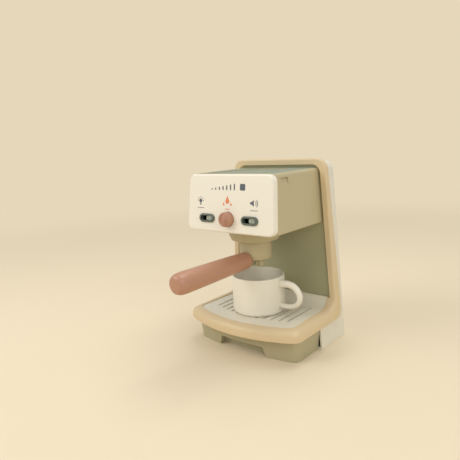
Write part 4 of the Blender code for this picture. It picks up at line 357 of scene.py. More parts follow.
LOOKS = {
    "tan": moulded("tan_moulding", (0.665, 0.525, 0.315), (0.635, 0.505, 0.31), (0.80, 0.67, 0.46), 0.42,
                   sheen=0.42),
    "khaki": moulded("khaki_moulding", (0.50, 0.43, 0.255), (0.47, 0.405, 0.245), (0.62, 0.55, 0.37), 0.46,
                     sheen=0.4),
    # Base: a khaki darkened with painted shade, for the shade under the deck's overhanging rim.
    "base": moulded("base_painted_shade_moulding", (0.435, 0.395, 0.245), (0.405, 0.37, 0.235), (0.56, 0.52, 0.36), 0.48,
                    sheen=0.38, dustiness=0.16),
    # Recess behind the group: khaki darkened with painted shade for the shade in the frame's recess; its
    # khaki-green tint stands for a second moulding colour.
    "recess": moulded("recess_painted_shade_moulding", (0.37, 0.36, 0.215), (0.345, 0.335, 0.205), (0.50, 0.48, 0.33), 0.5,
                      sheen=0.35),
    "white": moulded("white_moulding", (0.84, 0.785, 0.66), (0.815, 0.765, 0.65), (0.90, 0.86, 0.76), 0.36,
                     depth=0.000012, dustiness=0.05, rubbing=0.25, scratched=0.03),
    "cover": moulded("pale_cover_moulding", (0.74, 0.70, 0.58), (0.71, 0.675, 0.57), (0.82, 0.79, 0.69), 0.46,
                     grain=1100.0, depth=0.00004),
    "tray": moulded("tray_moulding", (0.74, 0.695, 0.565), (0.705, 0.67, 0.55), (0.84, 0.80, 0.69), 0.34,
                    dustiness=0.1, scratched=0.12),
    "mug": moulded("mug_moulding", (0.79, 0.75, 0.63), (0.782, 0.744, 0.627), (0.86, 0.82, 0.72), 0.36,
                   depth=0.000004, dustiness=0.02, rubbing=0.2),
    "terracotta": moulded("terracotta_moulding", (0.46, 0.235, 0.145), (0.44, 0.223, 0.138),
                          (0.60, 0.36, 0.25), 0.38, grain=1900.0, depth=0.000015,
                          dustiness=0.05, coat=0.1, scratched=0.02),
    "smoke": moulded("smoky_green_moulding", (0.245, 0.285, 0.205), (0.215, 0.255, 0.185), (0.38, 0.42, 0.33),
                     0.38, dustiness=0.18, scratched=0.1),
    "grey": moulded("grey_green_moulding", (0.115, 0.135, 0.105), (0.095, 0.11, 0.088),
                    (0.27, 0.29, 0.24), 0.36,
                    rubbing=0.6),
    "slider": moulded("slider_moulding", (0.36, 0.39, 0.31), (0.32, 0.35, 0.28), (0.52, 0.54, 0.46), 0.4,
                      rubbing=0.6),
    "black": moulded("black_moulding", (0.018, 0.018, 0.018), (0.026, 0.025, 0.024),
                     (0.09, 0.09, 0.085), 0.48),
    "sleeve": moulded("lead_sleeving", (0.012, 0.012, 0.012), (0.02, 0.02, 0.02), (0.06, 0.06, 0.06), 0.42,
                      grain=2400.0),
    "steel": plated_steel("zinc_plated_steel"),
    "board": etched_board("etched_board"),
    "cell": shrink_sleeve("cell_sleeve"),
    "tube": see_through("soft_clear_tube", (0.80, 0.82, 0.78), 0.75, 0.12),
    "lens": see_through("lamp_lens", (0.92, 0.86, 0.62), 0.6, 0.06),
    "cone": pressed_paper("speaker_paper"),
    "dark_ink": printed("dark_ink", (0.085, 0.10, 0.115), (0.16, 0.17, 0.17)),
    "orange_ink": printed("orange_ink", (0.72, 0.22, 0.09), (0.78, 0.36, 0.22)),
    "grey_ink": printed("grey_ink", (0.25, 0.24, 0.23), (0.38, 0.37, 0.34)),
}


# Modelling by hand


def take(piece):
    """Makes one piece the only selected one."""
    bpy.ops.object.select_all(action="DESELECT")
    piece.select_set(True)
    bpy.context.view_layer.objects.active = piece


def work_on(piece, kind="VERT"):
    take(piece)
    bpy.ops.object.mode_set(mode="EDIT")
    bpy.ops.mesh.select_mode(type=kind)


def leave():
    bpy.ops.object.mode_set(mode="OBJECT")


def select_all():
    bpy.ops.mesh.select_all(action="SELECT")


def flipped(piece):
    """Turns the piece's faces over."""
    work_on(piece)
    select_all()
    bpy.ops.mesh.flip_normals()
    leave()


def settled(name):
    """Names the new primitive and puts its place into its mesh."""
    piece = bpy.context.object
    piece.name = name
    piece.data.name = name
    take(piece)
    bpy.ops.object.transform_apply(location=True, rotation=True, scale=True)
    return piece


def laid(piece, matrix):
    """Moves a piece to its place, and puts the place into its mesh."""
    take(piece)
    piece.matrix_world = matrix
    bpy.ops.object.transform_apply(location=True, rotation=True, scale=True)
    return piece


def pick(piece, kind, test):
    """In edit mode, selects only the verts, edges or faces that pass the test."""
    shape = bmesh.from_edit_mesh(piece.data)
    for item in (*shape.faces, *shape.edges, *shape.verts):
        item.select_set(False)
    for item in getattr(shape, kind):
        if test(item):
            item.select_set(True)
    shape.select_flush_mode()
    bmesh.update_edit_mesh(piece.data)


def extrude(value):
    bpy.ops.mesh.extrude_region_move(TRANSFORM_OT_translate={"value": value})


def applied(piece, kind, **settings):
    """Adds a modifier, sets it and applies it."""
    modifier = piece.modifiers.new(kind.lower(), kind)
    for key, value in settings.items():
        setattr(modifier, key, value)
    take(piece)
    bpy.ops.object.modifier_apply(modifier=modifier.name)
    return piece


def cut_away(piece, *tools):
    for tool in tools:
        applied(piece, "BOOLEAN", operation="DIFFERENCE", object=tool, solver="EXACT")
        bpy.data.objects.remove(tool)
    return piece


def grown(piece, *parts):
    """Adds other parts to the piece's own mesh."""
    bpy.ops.object.select_all(action="DESELECT")
    for part in parts:
        part.select_set(True)
    piece.select_set(True)
    bpy.context.view_layer.objects.active = piece
    bpy.ops.object.join()
    return piece


def twin(piece, name, matrix):
    """A copy with its own mesh, laid somewhere else."""
    other = piece.copy()
    other.data = piece.data.copy()
    other.name = name
    bpy.context.scene.collection.objects.link(other)
    return laid(other, matrix)


def corner(before, place, after, radius, steps):
    """Points of the arc that rounds one corner of a profile."""
    a, b, c = Vector(before), Vector(place), Vector(after)
    into, out = (a - b), (c - b)
    if min(into.length, out.length) < 1e-9 or radius <= 0:
        return [tuple(b)]
    angle = into.angle(out)
    if angle > math.radians(179):
        return [tuple(b)]
    reach = min(radius / math.tan(angle / 2), into.length * 0.49, out.length * 0.49)
    round_radius = reach * math.tan(angle / 2)
    start = b + into.normalized() * reach
    end = b + out.normalized() * reach
    middle = b + (into.normalized() + out.normalized()).normalized() * (round_radius / math.sin(angle / 2))
    first, last = start - middle, end - middle
    points = []
    for k in range(steps + 1):
        share = k / steps
        spot = first.slerp(last, share) if first.angle(last) > 1e-4 else first
        points.append(tuple(middle + spot.normalized() * round_radius))
    return points


def eased(points, steps=5):
    """A profile of (radius, height, corner radius) with its corners rounded."""
    flat = [(p[0], p[1]) for p in points]
    profile = []
    for i, point in enumerate(points):
        if len(point) < 3 or not point[2] or i in (0, len(points) - 1):
            profile.append(flat[i])
        else:
            profile += corner(flat[i - 1], flat[i], flat[i + 1], point[2], steps)
    return profile


def turned(name, profile, sides=72, ring=False):
    """Turns a profile of (radius, height) pairs round the upright, ring by ring from the bottom's middle.

    A ring's profile comes back to its first point and leaves the middle open.
    """
    radius, height = profile[0]
    filling = "NOTHING" if ring else "NGON"
    bpy.ops.mesh.primitive_circle_add(
        vertices=sides, radius=radius, fill_type=filling, location=(0, 0, height)
    )
    piece = settled(name)
    work_on(piece, "EDGE" if ring else "FACE")
    select_all()
    for next_radius, next_height in profile[1:] + (profile[:1] if ring else []):
        extrude((0, 0, next_height - height))
        share = next_radius / radius
        bpy.ops.transform.resize(value=(share, share, 1), center_override=(0, 0, next_height))
        radius, height = next_radius, next_height
    if ring:
        select_all()
        bpy.ops.mesh.remove_doubles(threshold=0.000002)
        bpy.ops.mesh.normals_make_consistent(inside=False)
    leave()
    return piece


def slot_plate(name, length, height, level, sides=40):
    """A flat plate with round ends, lying across."""
    bpy.ops.mesh.primitive_circle_add(
        vertices=sides, radius=height / 2, fill_type="NGON", location=(0, 0, level)
    )
    piece = settled(name)
    work_on(piece)
    for side in (-1, 1):
        pick(piece, "verts", lambda vertex: side * vertex.co.x > height / 1000)
        bpy.ops.transform.translate(value=(side * (length - height) / 2, 0, 0))
    leave()
    return piece


def raised(piece, moves):
    """Extrudes the piece's flat face upwards in steps of (height, inset)."""
    work_on(piece, "FACE")
    select_all()
    for height, inset in moves:
        if inset:
            bpy.ops.mesh.inset(thickness=inset, depth=0)
        if height:
            extrude((0, 0, height))
    leave()
    return piece


def box_block(name, size, middle):
    bpy.ops.mesh.primitive_cube_add(size=1, location=middle)
    bpy.context.object.scale = size
    return settled(name)


def dressed(name, source):
    """A merged copy of one of the frame's solids, with its flat faces whole again."""
    piece = bpy.data.objects.new(name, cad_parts[source].data.copy())
    bpy.context.scene.collection.objects.link(piece)
    piece.data.name = name
    piece.data.materials.clear()
    work_on(piece)
    select_all()
    bpy.ops.mesh.remove_doubles(threshold=0.000002)
    bpy.ops.mesh.dissolve_limited(angle_limit=math.radians(0.6))
    leave()
    return piece


def finished(piece, body, look, replaces=(), edge=0.0, segments=2, sharp=32, smooth=36):
    """Softens the edges, shades the piece and gives it its place, slot and material."""
    if edge:
        applied(
            piece, "BEVEL", width=edge, segments=segments, limit_method="ANGLE",
            angle_limit=math.radians(sharp),
            use_clamp_overlap=True, miter_outer="MITER_ARC",
        )
    take(piece)
    bpy.ops.object.shade_smooth_by_angle(angle=math.radians(smooth))
    applied(piece, "WEIGHTED_NORMAL", keep_sharp=True, weight=60)
    if not piece.data.materials:
        piece.data.materials.append(LOOKS[look])
    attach(piece, body)
    if replaces:
        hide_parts(*replaces)
    return piece


# Frame, cover and base


def second_finish(piece, look, test):
    """Gives the faces that pass the test a second material."""
    piece.data.materials.append(LOOKS[look])
    for face in piece.data.polygons:
        if test(face):
            face.material_index = len(piece.data.materials) - 1


def shells():
    shell = dressed("frame_shell", "back_frame")
    shell.data.materials.append(LOOKS["tan"])
    # The frame's recess faces behind the group take the darker recess colour: painted shade.
    second_finish(
        shell,
        "recess",
        lambda face: face.normal.y < -0.9 and 0.0035 < face.center.y < 0.006 and face.center.z > 0.05,
    )
    # The basin floor under the drip tray is painted dark grey-green: painted shade seen through the tray's
    # slots.
    second_finish(
        shell,
        "grey",
        lambda face: face.normal.z > 0.9 and 0.030 < face.center.z < 0.036,
    )
    finished(shell, "machine", "tan", ["back_frame"], edge=0.0004)
    cover = dressed("cover_shell", "rear_cover")
    finished(cover, "machine", "cover", ["rear_cover"], edge=0.0003)
    base = dressed("base_shell", "base_box")
    finished(base, "machine", "base", ["base_box"], edge=0.0007, segments=3)
    head = dressed("head_shell", "head_housing")
    head.data.materials.append(LOOKS["khaki"])
    second_finish(head, "smoke", lambda face: face.normal.z > 0.9 and face.center.z > 0.22)
    finished(head, "machine", "khaki", ["head_housing"], edge=0.0003)
    plate = dressed("drip_plate", "drip_tray")
    finished(plate, "tray", "tray", ["drip_tray"], edge=0.0003)
    tank = dressed("tank_shell", "water_tank")
    finished(tank, "machine", "smoke", ["water_tank"], edge=0.0002)
    lid = dressed("lid_plate", "tank_lid")
    finished(lid, "lid", "smoke", ["tank_lid"], edge=0.0003, segments=3)
    door = dressed("cell_door", "battery_door")
    finished(door, "door", "cover", ["battery_door"], edge=0.0002)


# Control panel

PANEL_DEPTH = 0.0085
PANEL_WALL = 0.0024
PANEL_HALF_HEIGHT = 0.036 / math.cos(PANEL_LEAN)
PANEL_LOW_HALF = 0.069
PANEL_HIGH_HALF = 0.066
PANEL_CORNER = 0.0088
PANEL_EDGE = 0.0024
SWITCH_REACH = 0.034
BUTTON_HOLE = 0.0095
SWITCH_HOLE = (0.0230, 0.0096)


def panel_block(name, inset, front, back):
    """The panel's tapering block, with rounded corners, from its back forwards."""
    bpy.ops.mesh.primitive_plane_add(size=2, location=(0, 0, back))
    piece = settled(name)
    work_on(piece)
    half_height = PANEL_HALF_HEIGHT - inset
    select_all()
    bpy.ops.transform.resize(value=(1, half_height, 1), center_override=(0, 0, back))
    for upper, half in ((False, PANEL_LOW_HALF - inset), (True, PANEL_HIGH_HALF - inset)):
        pick(piece, "verts", lambda vertex: (vertex.co.y > 0) == upper)
        bpy.ops.transform.resize(value=(half, 1, 1), center_override=(0, 0, back))
    bpy.ops.mesh.select_mode(type="FACE")
    select_all()
    extrude((0, 0, front - back))
    bpy.ops.mesh.select_mode(type="EDGE")
    pick(piece, "edges", lambda edge: abs(edge.verts[0].co.z - edge.verts[1].co.z) > 0.001)
    bpy.ops.mesh.bevel(offset=PANEL_CORNER - inset, segments=12, affect="EDGES", offset_type="OFFSET")
    leave()
    return piece


def rounded_front(piece, radius, front=0.0):
    work_on(piece, "EDGE")
    pick(
        piece,
        "edges",
        lambda edge: all(abs(v.co.z - front) < 1e-6 for v in edge.verts) and edge.calc_face_angle(0) > 1,
    )
    bpy.ops.mesh.bevel(offset=radius, segments=7, affect="EDGES", offset_type="OFFSET")
    leave()
    return piece


def control_panel():
    panel = rounded_front(panel_block("panel_front", 0.0, 0.0, -PANEL_DEPTH), PANEL_EDGE)
    hollow = panel_block("panel_hollow", PANEL_WALL, -PANEL_WALL, -PANEL_DEPTH - 0.004)
    button_hole = turned("button_hole", [(BUTTON_HOLE, -0.006), (BUTTON_HOLE, 0.002)], 64)
    laid(button_hole, Matrix.Translation((0, -CONTROL_DROP, 0)))
    tools = [hollow, button_hole]
    for side in (-1, 1):
        slot = raised(slot_plate("switch_hole", *SWITCH_HOLE, -0.006, 48), [(0.008, 0)])
        tools.append(laid(slot, Matrix.Translation((side * SWITCH_REACH, -CONTROL_DROP, 0))))
    cut_away(panel, *tools)
    posts = []
    for across in (-0.0505, 0.0505):
        for up in (-0.0255, 0.0045):
            post_profile = eased([(0.001, -0.0137), (0.0028, -0.0137, 0.0004), (0.0028, -0.0016)])
            post = turned("board_post", post_profile, 24)
            posts.append(laid(post, Matrix.Translation((across, up, 0))))
    grown(panel, *posts)
    laid(panel, FACE)
    finished(panel, "machine", "white", ["front_panel"], edge=0.00015)


def switch(kind, side):
    """A bezel round a sunken slot, and the slider that runs in it."""
    place = FACE @ Matrix.Translation((side * SWITCH_REACH, -CONTROL_DROP, 0))
    flange = [(0.0011, 0), (0.0007, 0.00025), (0.0004, 0.0004), (0.0002, 0.0006)]
    bezel = raised(slot_plate("bezel", 0.0250, 0.0110, 0.0, 56), flange)
    sleeve = raised(slot_plate("bezel_sleeve", 0.0224, 0.0090, -0.0034, 56), [(0.0040, 0)])
    applied(bezel, "BOOLEAN", operation="UNION", object=sleeve, solver="EXACT")
    bpy.data.objects.remove(sleeve)
    opening = raised(slot_plate("bezel_opening", 0.0196, 0.0062, -0.006, 56), [(0.010, 0)])
    cut_away(bezel, opening)
    bezel.name = f"{kind}_bezel_ring"
    laid(bezel, place)
    finished(bezel, "machine", "grey", [f"{kind}_switch_bezel"], edge=0.0002)
    knob = box_block("slider", (0.0085, 0.0056, 0.0050), (0, 0, -0.0011))
    work_on(knob, "EDGE")
    pick(knob, "edges", lambda edge: abs(edge.verts[0].co.z - edge.verts[1].co.z) > 0.001)
    bpy.ops.mesh.bevel(offset=0.0020, segments=6, affect="EDGES")
    leave()
    ribs = []
    for shift in (-0.0021, 0.0, 0.0021):
        rib = box_block("slider_groove", (0.0009, 0.0120, 0.0009), (shift, 0, 0.0014))
        ribs.append(applied(rib, "BEVEL", width=0.00025, segments=2))
    cut_away(knob, *ribs)
    shoe = box_block("slider_shoe", (0.0107, 0.0100, 0.0014), (0, 0, -0.0044))
    stem = box_block("slider_stem", (0.0024, 0.0024, 0.0048), (0, 0, -0.0064))
    grown(knob, shoe, stem)
    knob.name = f"{kind}_slider_knob"
    laid(knob, place @ Matrix.Translation((0.004, 0, 0)))
    finished(knob, f"{kind}_slider", "slider", [f"{kind}_switch_slider"], edge=0.00025)


def button():
    crown = 0.0092
    profile = [(0.0001, -0.0072), (0.0032, -0.0072, 0.0005), (0.0032, -0.0041), (0.0108, -0.0041, 0.0003),
               (0.0108, -0.0027, 0.0003), (0.0090, -0.0027)]
    profile += [(0.0090, crown - 0.0030), (0.00885, crown - 0.0021), (0.0084, crown - 0.0014),
                (0.0078, crown - 0.0010)]
    for ring, dip in ((0.0069, 0.00062), (0.0051, 0.00030), (0.0031, 0.00010)):
        rise = crown - dip
        profile += [(ring + 0.0006, rise - 0.00002), (ring + 0.00035, rise - 0.00045), (ring, rise - 0.00062),
                    (ring - 0.00035, rise - 0.00043), (ring - 0.0006, rise + 0.00004)]
    profile += [(0.0012, crown - 0.00002), (0.0001, crown)]
    knob = turned("button_knob", eased(profile, 3), 72)
    laid(knob, FACE @ Matrix.Translation((0, -CONTROL_DROP, 0)))
    finished(knob, "button", "terracotta", ["water_button"], smooth=60)


SPRING_WIRE = 0.0004
SPRING_COIL = 0.0060
SPRING_TURNS = 5


def return_spring():
    """Steel wire wound behind the button, from one wire section."""
    place = FACE @ Matrix.Translation((0, -CONTROL_DROP, 0))
    depths = [(place.inverted() @ vertex.co).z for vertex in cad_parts["button_spring"].data.vertices]
    low, high = min(depths) + SPRING_WIRE, max(depths) - SPRING_WIRE
    bpy.ops.mesh.primitive_circle_add(
        vertices=10, radius=SPRING_WIRE, location=(SPRING_COIL, 0, low), rotation=(math.pi / 2, 0, 0)
    )
    coil = settled("spring_coil")
    applied(
        coil, "SCREW", axis="Z", steps=24, render_steps=24, iterations=SPRING_TURNS,
        screw_offset=(high - low) / SPRING_TURNS,
    )
    work_on(coil)
    select_all()
    bpy.ops.mesh.remove_doubles(threshold=0.000001)
    bpy.ops.mesh.select_all(action="DESELECT")
    bpy.ops.mesh.select_non_manifold()
    bpy.ops.mesh.fill_holes(sides=0)
    select_all()
    bpy.ops.mesh.normals_make_consistent(inside=False)
    leave()
    laid(coil, place)
    finished(coil, "machine", "steel", ["button_spring"], smooth=60)
    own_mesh(coil)


# Signs printed on the panel

INK = 0.00006


def print_on(pieces, name, look):
    """Joins the marks, lifts them to the ink's thickness and lays them on the panel."""
    sign = pieces[0]
    if len(pieces) > 1:
        grown(sign, *pieces[1:])
    work_on(sign, "FACE")
    select_all()
    extrude((0, 0, INK))
    leave()
    sign.name = name
    laid(sign, FACE @ Matrix.Translation((0, 0, INK / 4)))
    return finished(sign, "machine", look)


def bar_mark(length, height, across, up, turn=0.0):
    mark = slot_plate("mark", length, height, 0, 16)
    return laid(mark, Matrix.Translation((across, up, 0)) @ Matrix.Rotation(turn, 4, "Z"))


def arc_mark(radius, width, across, up, low, high, steps=20):
    """A bent line: a small plane spun about a middle."""
    bpy.ops.mesh.primitive_plane_add(size=width, location=(radius, 0, 0))
    mark = settled("arc")
    work_on(mark)
    pick(mark, "verts", lambda vertex: vertex.co.y < 0)
    bpy.ops.mesh.delete(type="VERT")
    select_all()
    bpy.ops.transform.translate(value=(0, -width / 2, 0))
    bpy.ops.mesh.spin(steps=steps, angle=high - low, center=(0, 0, 0), axis=(0, 0, 1))
    select_all()
    bpy.ops.mesh.remove_doubles(threshold=0.000001)
    bpy.ops.mesh.normals_make_consistent(inside=False)
    leave()
    if mark.data.polygons and mark.data.polygons[0].normal.z < 0:
        flipped(mark)
    spun = max(math.atan2(v.co.y, v.co.x) for v in mark.data.vertices)
    start = low if spun > 0.01 else high
    return laid(mark, Matrix.Translation((across, up, 0)) @ Matrix.Rotation(start, 4, "Z"))


def disc_mark(radius, across, up, point=0.0):
    """A round dot, or a drop when its top is drawn up to a point."""
    bpy.ops.mesh.primitive_circle_add(vertices=32, radius=radius, fill_type="NGON")
    mark = settled("dot")
    if point:
        work_on(mark)
        for level, narrow in ((0.25, 0.86), (0.55, 0.72), (0.85, 0.45)):
            pick(mark, "verts", lambda vertex: vertex.co.y > level * radius)
            bpy.ops.transform.translate(value=(0, point / 3, 0))
            bpy.ops.transform.resize(value=(narrow, 1, 1), center_override=(0, 0, 0))
        leave()
    return laid(mark, Matrix.Translation((across, up, 0)))


def shape_mark(corners, across, up):
    """A flat mark between given corners: a ring face whose corners are moved to them."""
    bpy.ops.mesh.primitive_circle_add(vertices=len(corners), radius=0.001, fill_type="NGON")
    mark = settled("shape")
    for vertex, place in zip(mark.data.vertices, corners):
        vertex.co = (*place, 0)
    mark.data.update()
    if mark.data.polygons[0].normal.z < 0:
        flipped(mark)
    return laid(mark, Matrix.Translation((across, up, 0)))


def signs():
    # A lamp: glass, cap and rays
    lamp = [disc_mark(0.0026, -0.0458, 0.0024), bar_mark(0.0032, 0.0010, -0.0458, -0.0012),
            bar_mark(0.0022, 0.0010, -0.0458, -0.0026)]
    for turn in (0.1, 0.83, 1.57, 2.31, 3.04):
        lamp.append(
            bar_mark(0.0020, 0.0010, -0.0458 + 0.0046 * math.cos(turn),
                     0.0024 + 0.0046 * math.sin(turn), turn)
        )
    print_on(lamp, "sign_light", "dark_ink")
    drops = [disc_mark(0.0032, -0.001, 0.0031, 0.0034), disc_mark(0.0014, -0.0068, -0.0010, 0.0014),
             disc_mark(0.0014, 0.0048, -0.0010, 0.0014)]
    print_on(drops, "sign_water", "orange_ink")
    horn = [
        shape_mark([(-0.0042, 0.0014), (-0.0042, -0.0014), (-0.0022, -0.0014), (0.0012, -0.0040),
                    (0.0012, 0.0040), (-0.0022, 0.0014)], 0.0385, 0.0020),
        arc_mark(0.0030, 0.0009, 0.0400, 0.0020, -0.85, 0.85),
        arc_mark(0.0052, 0.0009, 0.0400, 0.0020, -0.85, 0.85),
    ]
    print_on(horn, "sign_sound", "dark_ink")
    lines = [bar_mark(0.0115, 0.0010, across, -0.0066) for across in (-0.0455, 0.0400)]
    print_on(lines, "sign_lines", "grey_ink")
    print_on([bar_mark(0.0075, 0.0009, -0.0010, -0.0066)], "sign_water_line", "orange_ink")
    # A plain strength scale: seven rising bars and a square
    scale = [bar_mark(0.0020 + 0.0010 * i, 0.0020, -0.0262 + 0.0060 * i, 0.0176 + 0.0005 * i, math.pi / 2)
             for i in range(7)]
    bpy.ops.mesh.primitive_plane_add(size=0.0080, location=(0.0225, 0.0206, 0))
    square = settled("square")
    work_on(square)
    select_all()
    bpy.ops.mesh.bevel(offset=0.0014, segments=5, affect="VERTICES")
    leave()
    print_on(scale + [square], "sign_strength", "dark_ink")


# Brewing group


def brewing_group():
    group_place = Matrix.Translation((0, -GROUP_REACH, 0))
    top = HEAD_BOTTOM
    profile = eased(
        [
            (0.0026, top), (0.0370, top, 0.0006), (0.0370, top - 0.0030, 0.0012),
            (0.0345, top - 0.0090, 0.0020), (0.0320, 0.1449, 0.0010), (0.0306, 0.1440, 0.0006),
            (0.0204, 0.1440, 0.0004), (0.0204, 0.1468), (0.0248, 0.1468), (0.0248, 0.1531), (0.0026, 0.1531),
        ],
        6,
    )
    collar = laid(turned("collar_flange", profile[::-1], 96, ring=True), group_place)
    gates = []
    for i in range(2):
        gate = box_block("collar_gate", (0.0106, 0.0072, 0.010), (0, 0.0210, 0.1462))
        turn = Matrix.Rotation(math.pi * i - math.pi / 4 + math.pi / 2, 4, "Z")
        gates.append(laid(gate, group_place @ turn))
    cut_away(collar, *gates)
    finished(collar, "machine", "khaki", ["group_collar"], edge=0.00015, smooth=40)
    cup_profile = eased(
        [
            (0.0024, 0.0), (0.0218, 0.0, 0.0022), (0.0218, 0.0030), (0.0213, 0.0034), (0.0213, 0.0040),
            (0.0218, 0.0044), (0.0218, 0.0247, 0.0004), (0.0200, 0.0247, 0.0002), (0.0200, 0.0332, 0.0005),
            (0.0178, 0.0332, 0.0005), (0.0178, 0.0030, 0.0020), (0.0024, 0.0030, 0.0003),
        ],
        5,
    )
    cup = turned("holder_cup", cup_profile, 96, ring=True)
    lugs = []
    for i in range(2):
        lug = box_block("holder_lug", (0.0100, 0.0052, 0.0028), (0, 0.0210, 0.0297))
        lugs.append(laid(lug, Matrix.Rotation(math.pi * i + math.pi / 2, 4, "Z")))
    grown(cup, *lugs)
    stud_profile = eased([(0.0003, 0.0), (0.0038, 0.0), (0.0038, 0.0240, 0.0006), (0.0003, 0.0240)])
    stud = turned("holder_stud", stud_profile, 32)
    laid(stud, Matrix.Translation((0, -0.0205, 0.0038)) @ Matrix.Rotation(math.pi / 2, 4, "X"))
    grown(cup, stud)
    laid(cup, Matrix.Translation((0, -GROUP_REACH, HOLDER_BOTTOM)))
    finished(cup, "holder", "khaki", ["filter_holder"], smooth=40)
    spout = dressed("twin_spout", "coffee_spout")
    finished(spout, "holder", "khaki", ["coffee_spout"], edge=0.0003)


def grip():
    """The handle: a long taper with a domed end, a stepped collar and a saddle round the holder."""
    profile = [
        (0.0002, 0.0), (0.0090, 0.0), (0.0093, 0.0004), (0.00935, 0.0026), (0.0096, 0.0034), (0.0103, 0.0044),
        (0.0108, 0.0056), (0.01100, 0.0072), (0.01106, 0.0080), (0.01075, 0.0084), (0.01075, 0.0092),
        (0.01115, 0.0096), (0.0113, 0.0112), (0.0117, 0.0300), (0.0122, 0.0600),
        (0.0127, 0.0920), (0.0130, 0.1160), (0.01297, 0.1200), (0.0128, 0.1235), (0.0124, 0.1263),
        (0.0117, 0.1286), (0.0107, 0.1304), (0.0094, 0.1316), (0.0077, 0.13235), (0.0055, 0.1328),
        (0.0030, 0.1330), (0.0002, 0.1330),
    ]
    handle = turned("handle_grip", [(radius, along + 0.0172) for radius, along in profile], 80)
    laid(handle, Matrix.Rotation(math.pi / 2, 4, "X"))
    saddle = turned("saddle_tool", [(0.0222, -0.030), (0.0222, 0.030)], 96)
    bore = turned("bore_tool", [(0.0042, 0.0), (0.0042, 0.0464)], 32)
    laid(bore, Matrix.Translation((0, 0, 0.0038)) @ Matrix.Rotation(math.pi / 2, 4, "X"))
    cut_away(handle, saddle, bore)
    laid(handle, Matrix.Translation((0, -GROUP_REACH, HOLDER_BOTTOM)))
    finished(handle, "holder", "terracotta", ["holder_handle"], edge=0.0003, smooth=50)


# Mug

EAR = (
    (0.0322, 0.0398, 0.0058),
    (0.0350, 0.0405, 0.0054),
    (0.0385, 0.0412, 0.0049),
    (0.0440, 0.0418, 0.0048),
    (0.0495, 0.0419, 0.0047),
    (0.0545, 0.0406, 0.0046),
    (0.0590, 0.0381, 0.0043),
    (0.0624, 0.0345, 0.0040),
    (0.0646, 0.0300, 0.0037),
    (0.0652, 0.0250, 0.0035),
    (0.0640, 0.0208, 0.0034),
    (0.0611, 0.0170, 0.0034),
    (0.0568, 0.0139, 0.0034),
    (0.0515, 0.0121, 0.0034),
    (0.0458, 0.0113, 0.0034),
    (0.0405, 0.0112, 0.0035),
    (0.0360, 0.0114, 0.0038),
    (0.0322, 0.0118, 0.0046),
)
EAR_DEPTH = 0.0042


def bowed_bar(name, stations, depth, sides=24):
    """Draws a round bar along stations of (across, up, half thickness), station by station."""
    across, up, half = stations[0]
    bpy.ops.mesh.primitive_circle_add(
        vertices=sides, radius=1, fill_type="NGON", location=(across, 0, up), rotation=(0, math.pi / 2, 0)
    )
    bpy.context.object.scale = (half, depth, 1)
    bar = settled(name)
    if bar.data.polygons[0].normal.x < 0:
        flipped(bar)
    work_on(bar, "FACE")
    select_all()
    heading = 0.0
    for i in range(1, len(stations)):
        next_across, next_up, next_half = stations[i]
        beyond = stations[min(i + 1, len(stations) - 1)]
        wanted = math.atan2(beyond[1] - stations[i - 1][1], beyond[0] - stations[i - 1][0])
        extrude((next_across - across, 0, next_up - up))
        share = next_half / half
        middle = (next_across, 0, next_up)
        turn = (wanted - heading + math.pi) % (2 * math.pi) - math.pi
        bpy.ops.transform.rotate(value=turn, orient_axis="Y", center_override=middle)
        bpy.ops.transform.resize(value=(share, 1, share), center_override=middle)
        across, up, half, heading = next_across, next_up, next_half, wanted
    leave()
    return bar


def mug():
    outside = [
        (0.0002, 0.0012), (0.0270, 0.0012, 0.0006), (0.0283, 0.0, 0.0006), (0.0328, 0.0, 0.0012),
        (0.0353, 0.0028, 0.0024), (0.0353, 0.0498, 0.0013), (0.0327, 0.0498, 0.0012),
        (0.0325, 0.0030, 0.0036), (0.0002, 0.0030),
    ]
    cup = turned("mug_body", eased(outside, 7), 112)
    ear = bowed_bar("mug_ear", EAR, EAR_DEPTH)
    applied(ear, "SUBSURF", levels=1, render_levels=1)
    cup_inside = turned("ear_trim", [(0.0330, -0.01), (0.0330, 0.06)], 96)
    cut_away(ear, cup_inside)
    grown(cup, ear)
    laid(cup, Matrix.Translation(MUG_PLACE))
    finished(cup, "cup", "mug", ["mug"], smooth=45)


# Screws, sound and power

BACKWARDS = Matrix.Rotation(-math.pi / 2, 4, "X")
DOWNWARDS = Matrix.Rotation(math.pi, 4, "X")


COVER_SCREWS = ((-0.054, 0.217), (0.054, 0.217), (-0.064, 0.070), (0.064, 0.070))
BASE_SCREWS = ((-0.056, -0.072), (0.056, -0.072), (-0.066, -0.046), (0.066, -0.046))


def screws():
    """One screw, modelled once: a domed head with a cross recess on a threaded shank."""
    profile = [(0.0001, -0.0130), (0.0004, -0.0127)]
    along = -0.0120
    while along < -0.0016:
        profile += [(0.0010, along), (0.0013, along + 0.00035)]
        along += 0.0007
    profile += [(0.0011, -0.0010), (0.0030, -0.0010), (0.0030, -0.0005), (0.0028, -0.0002),
                (0.0022, -0.00003), (0.0012, 0.0), (0.0001, 0.0)]
    first = turned("screw", profile, 28)
    sizes = ((0.0032, 0.0007, 0.0013), (0.0007, 0.0032, 0.0013))
    cross = [box_block("cross", size, (0, 0, 0)) for size in sizes]
    cut_away(first, *cross)
    places = {}
    for i, (across, up) in enumerate(COVER_SCREWS):
        places[f"cover_screw_{i + 1}"] = Matrix.Translation((across, 0.0346, up)) @ BACKWARDS
    for i, (across, along) in enumerate(BASE_SCREWS):
        places[f"base_screw_{i + 1}"] = Matrix.Translation((across, along, 0.0003)) @ DOWNWARDS
    low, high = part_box("door_screw")
    middle = (low + high) / 2
    places["door_screw"] = Matrix.Translation((middle.x, high.y, middle.z)) @ BACKWARDS
    for label, place in places.items():
        item = twin(first, f"{label}_turned", place)
        finished(item, "door" if label == "door_screw" else "machine", "steel", [label],
                 smooth=30)
    bpy.data.objects.remove(first)


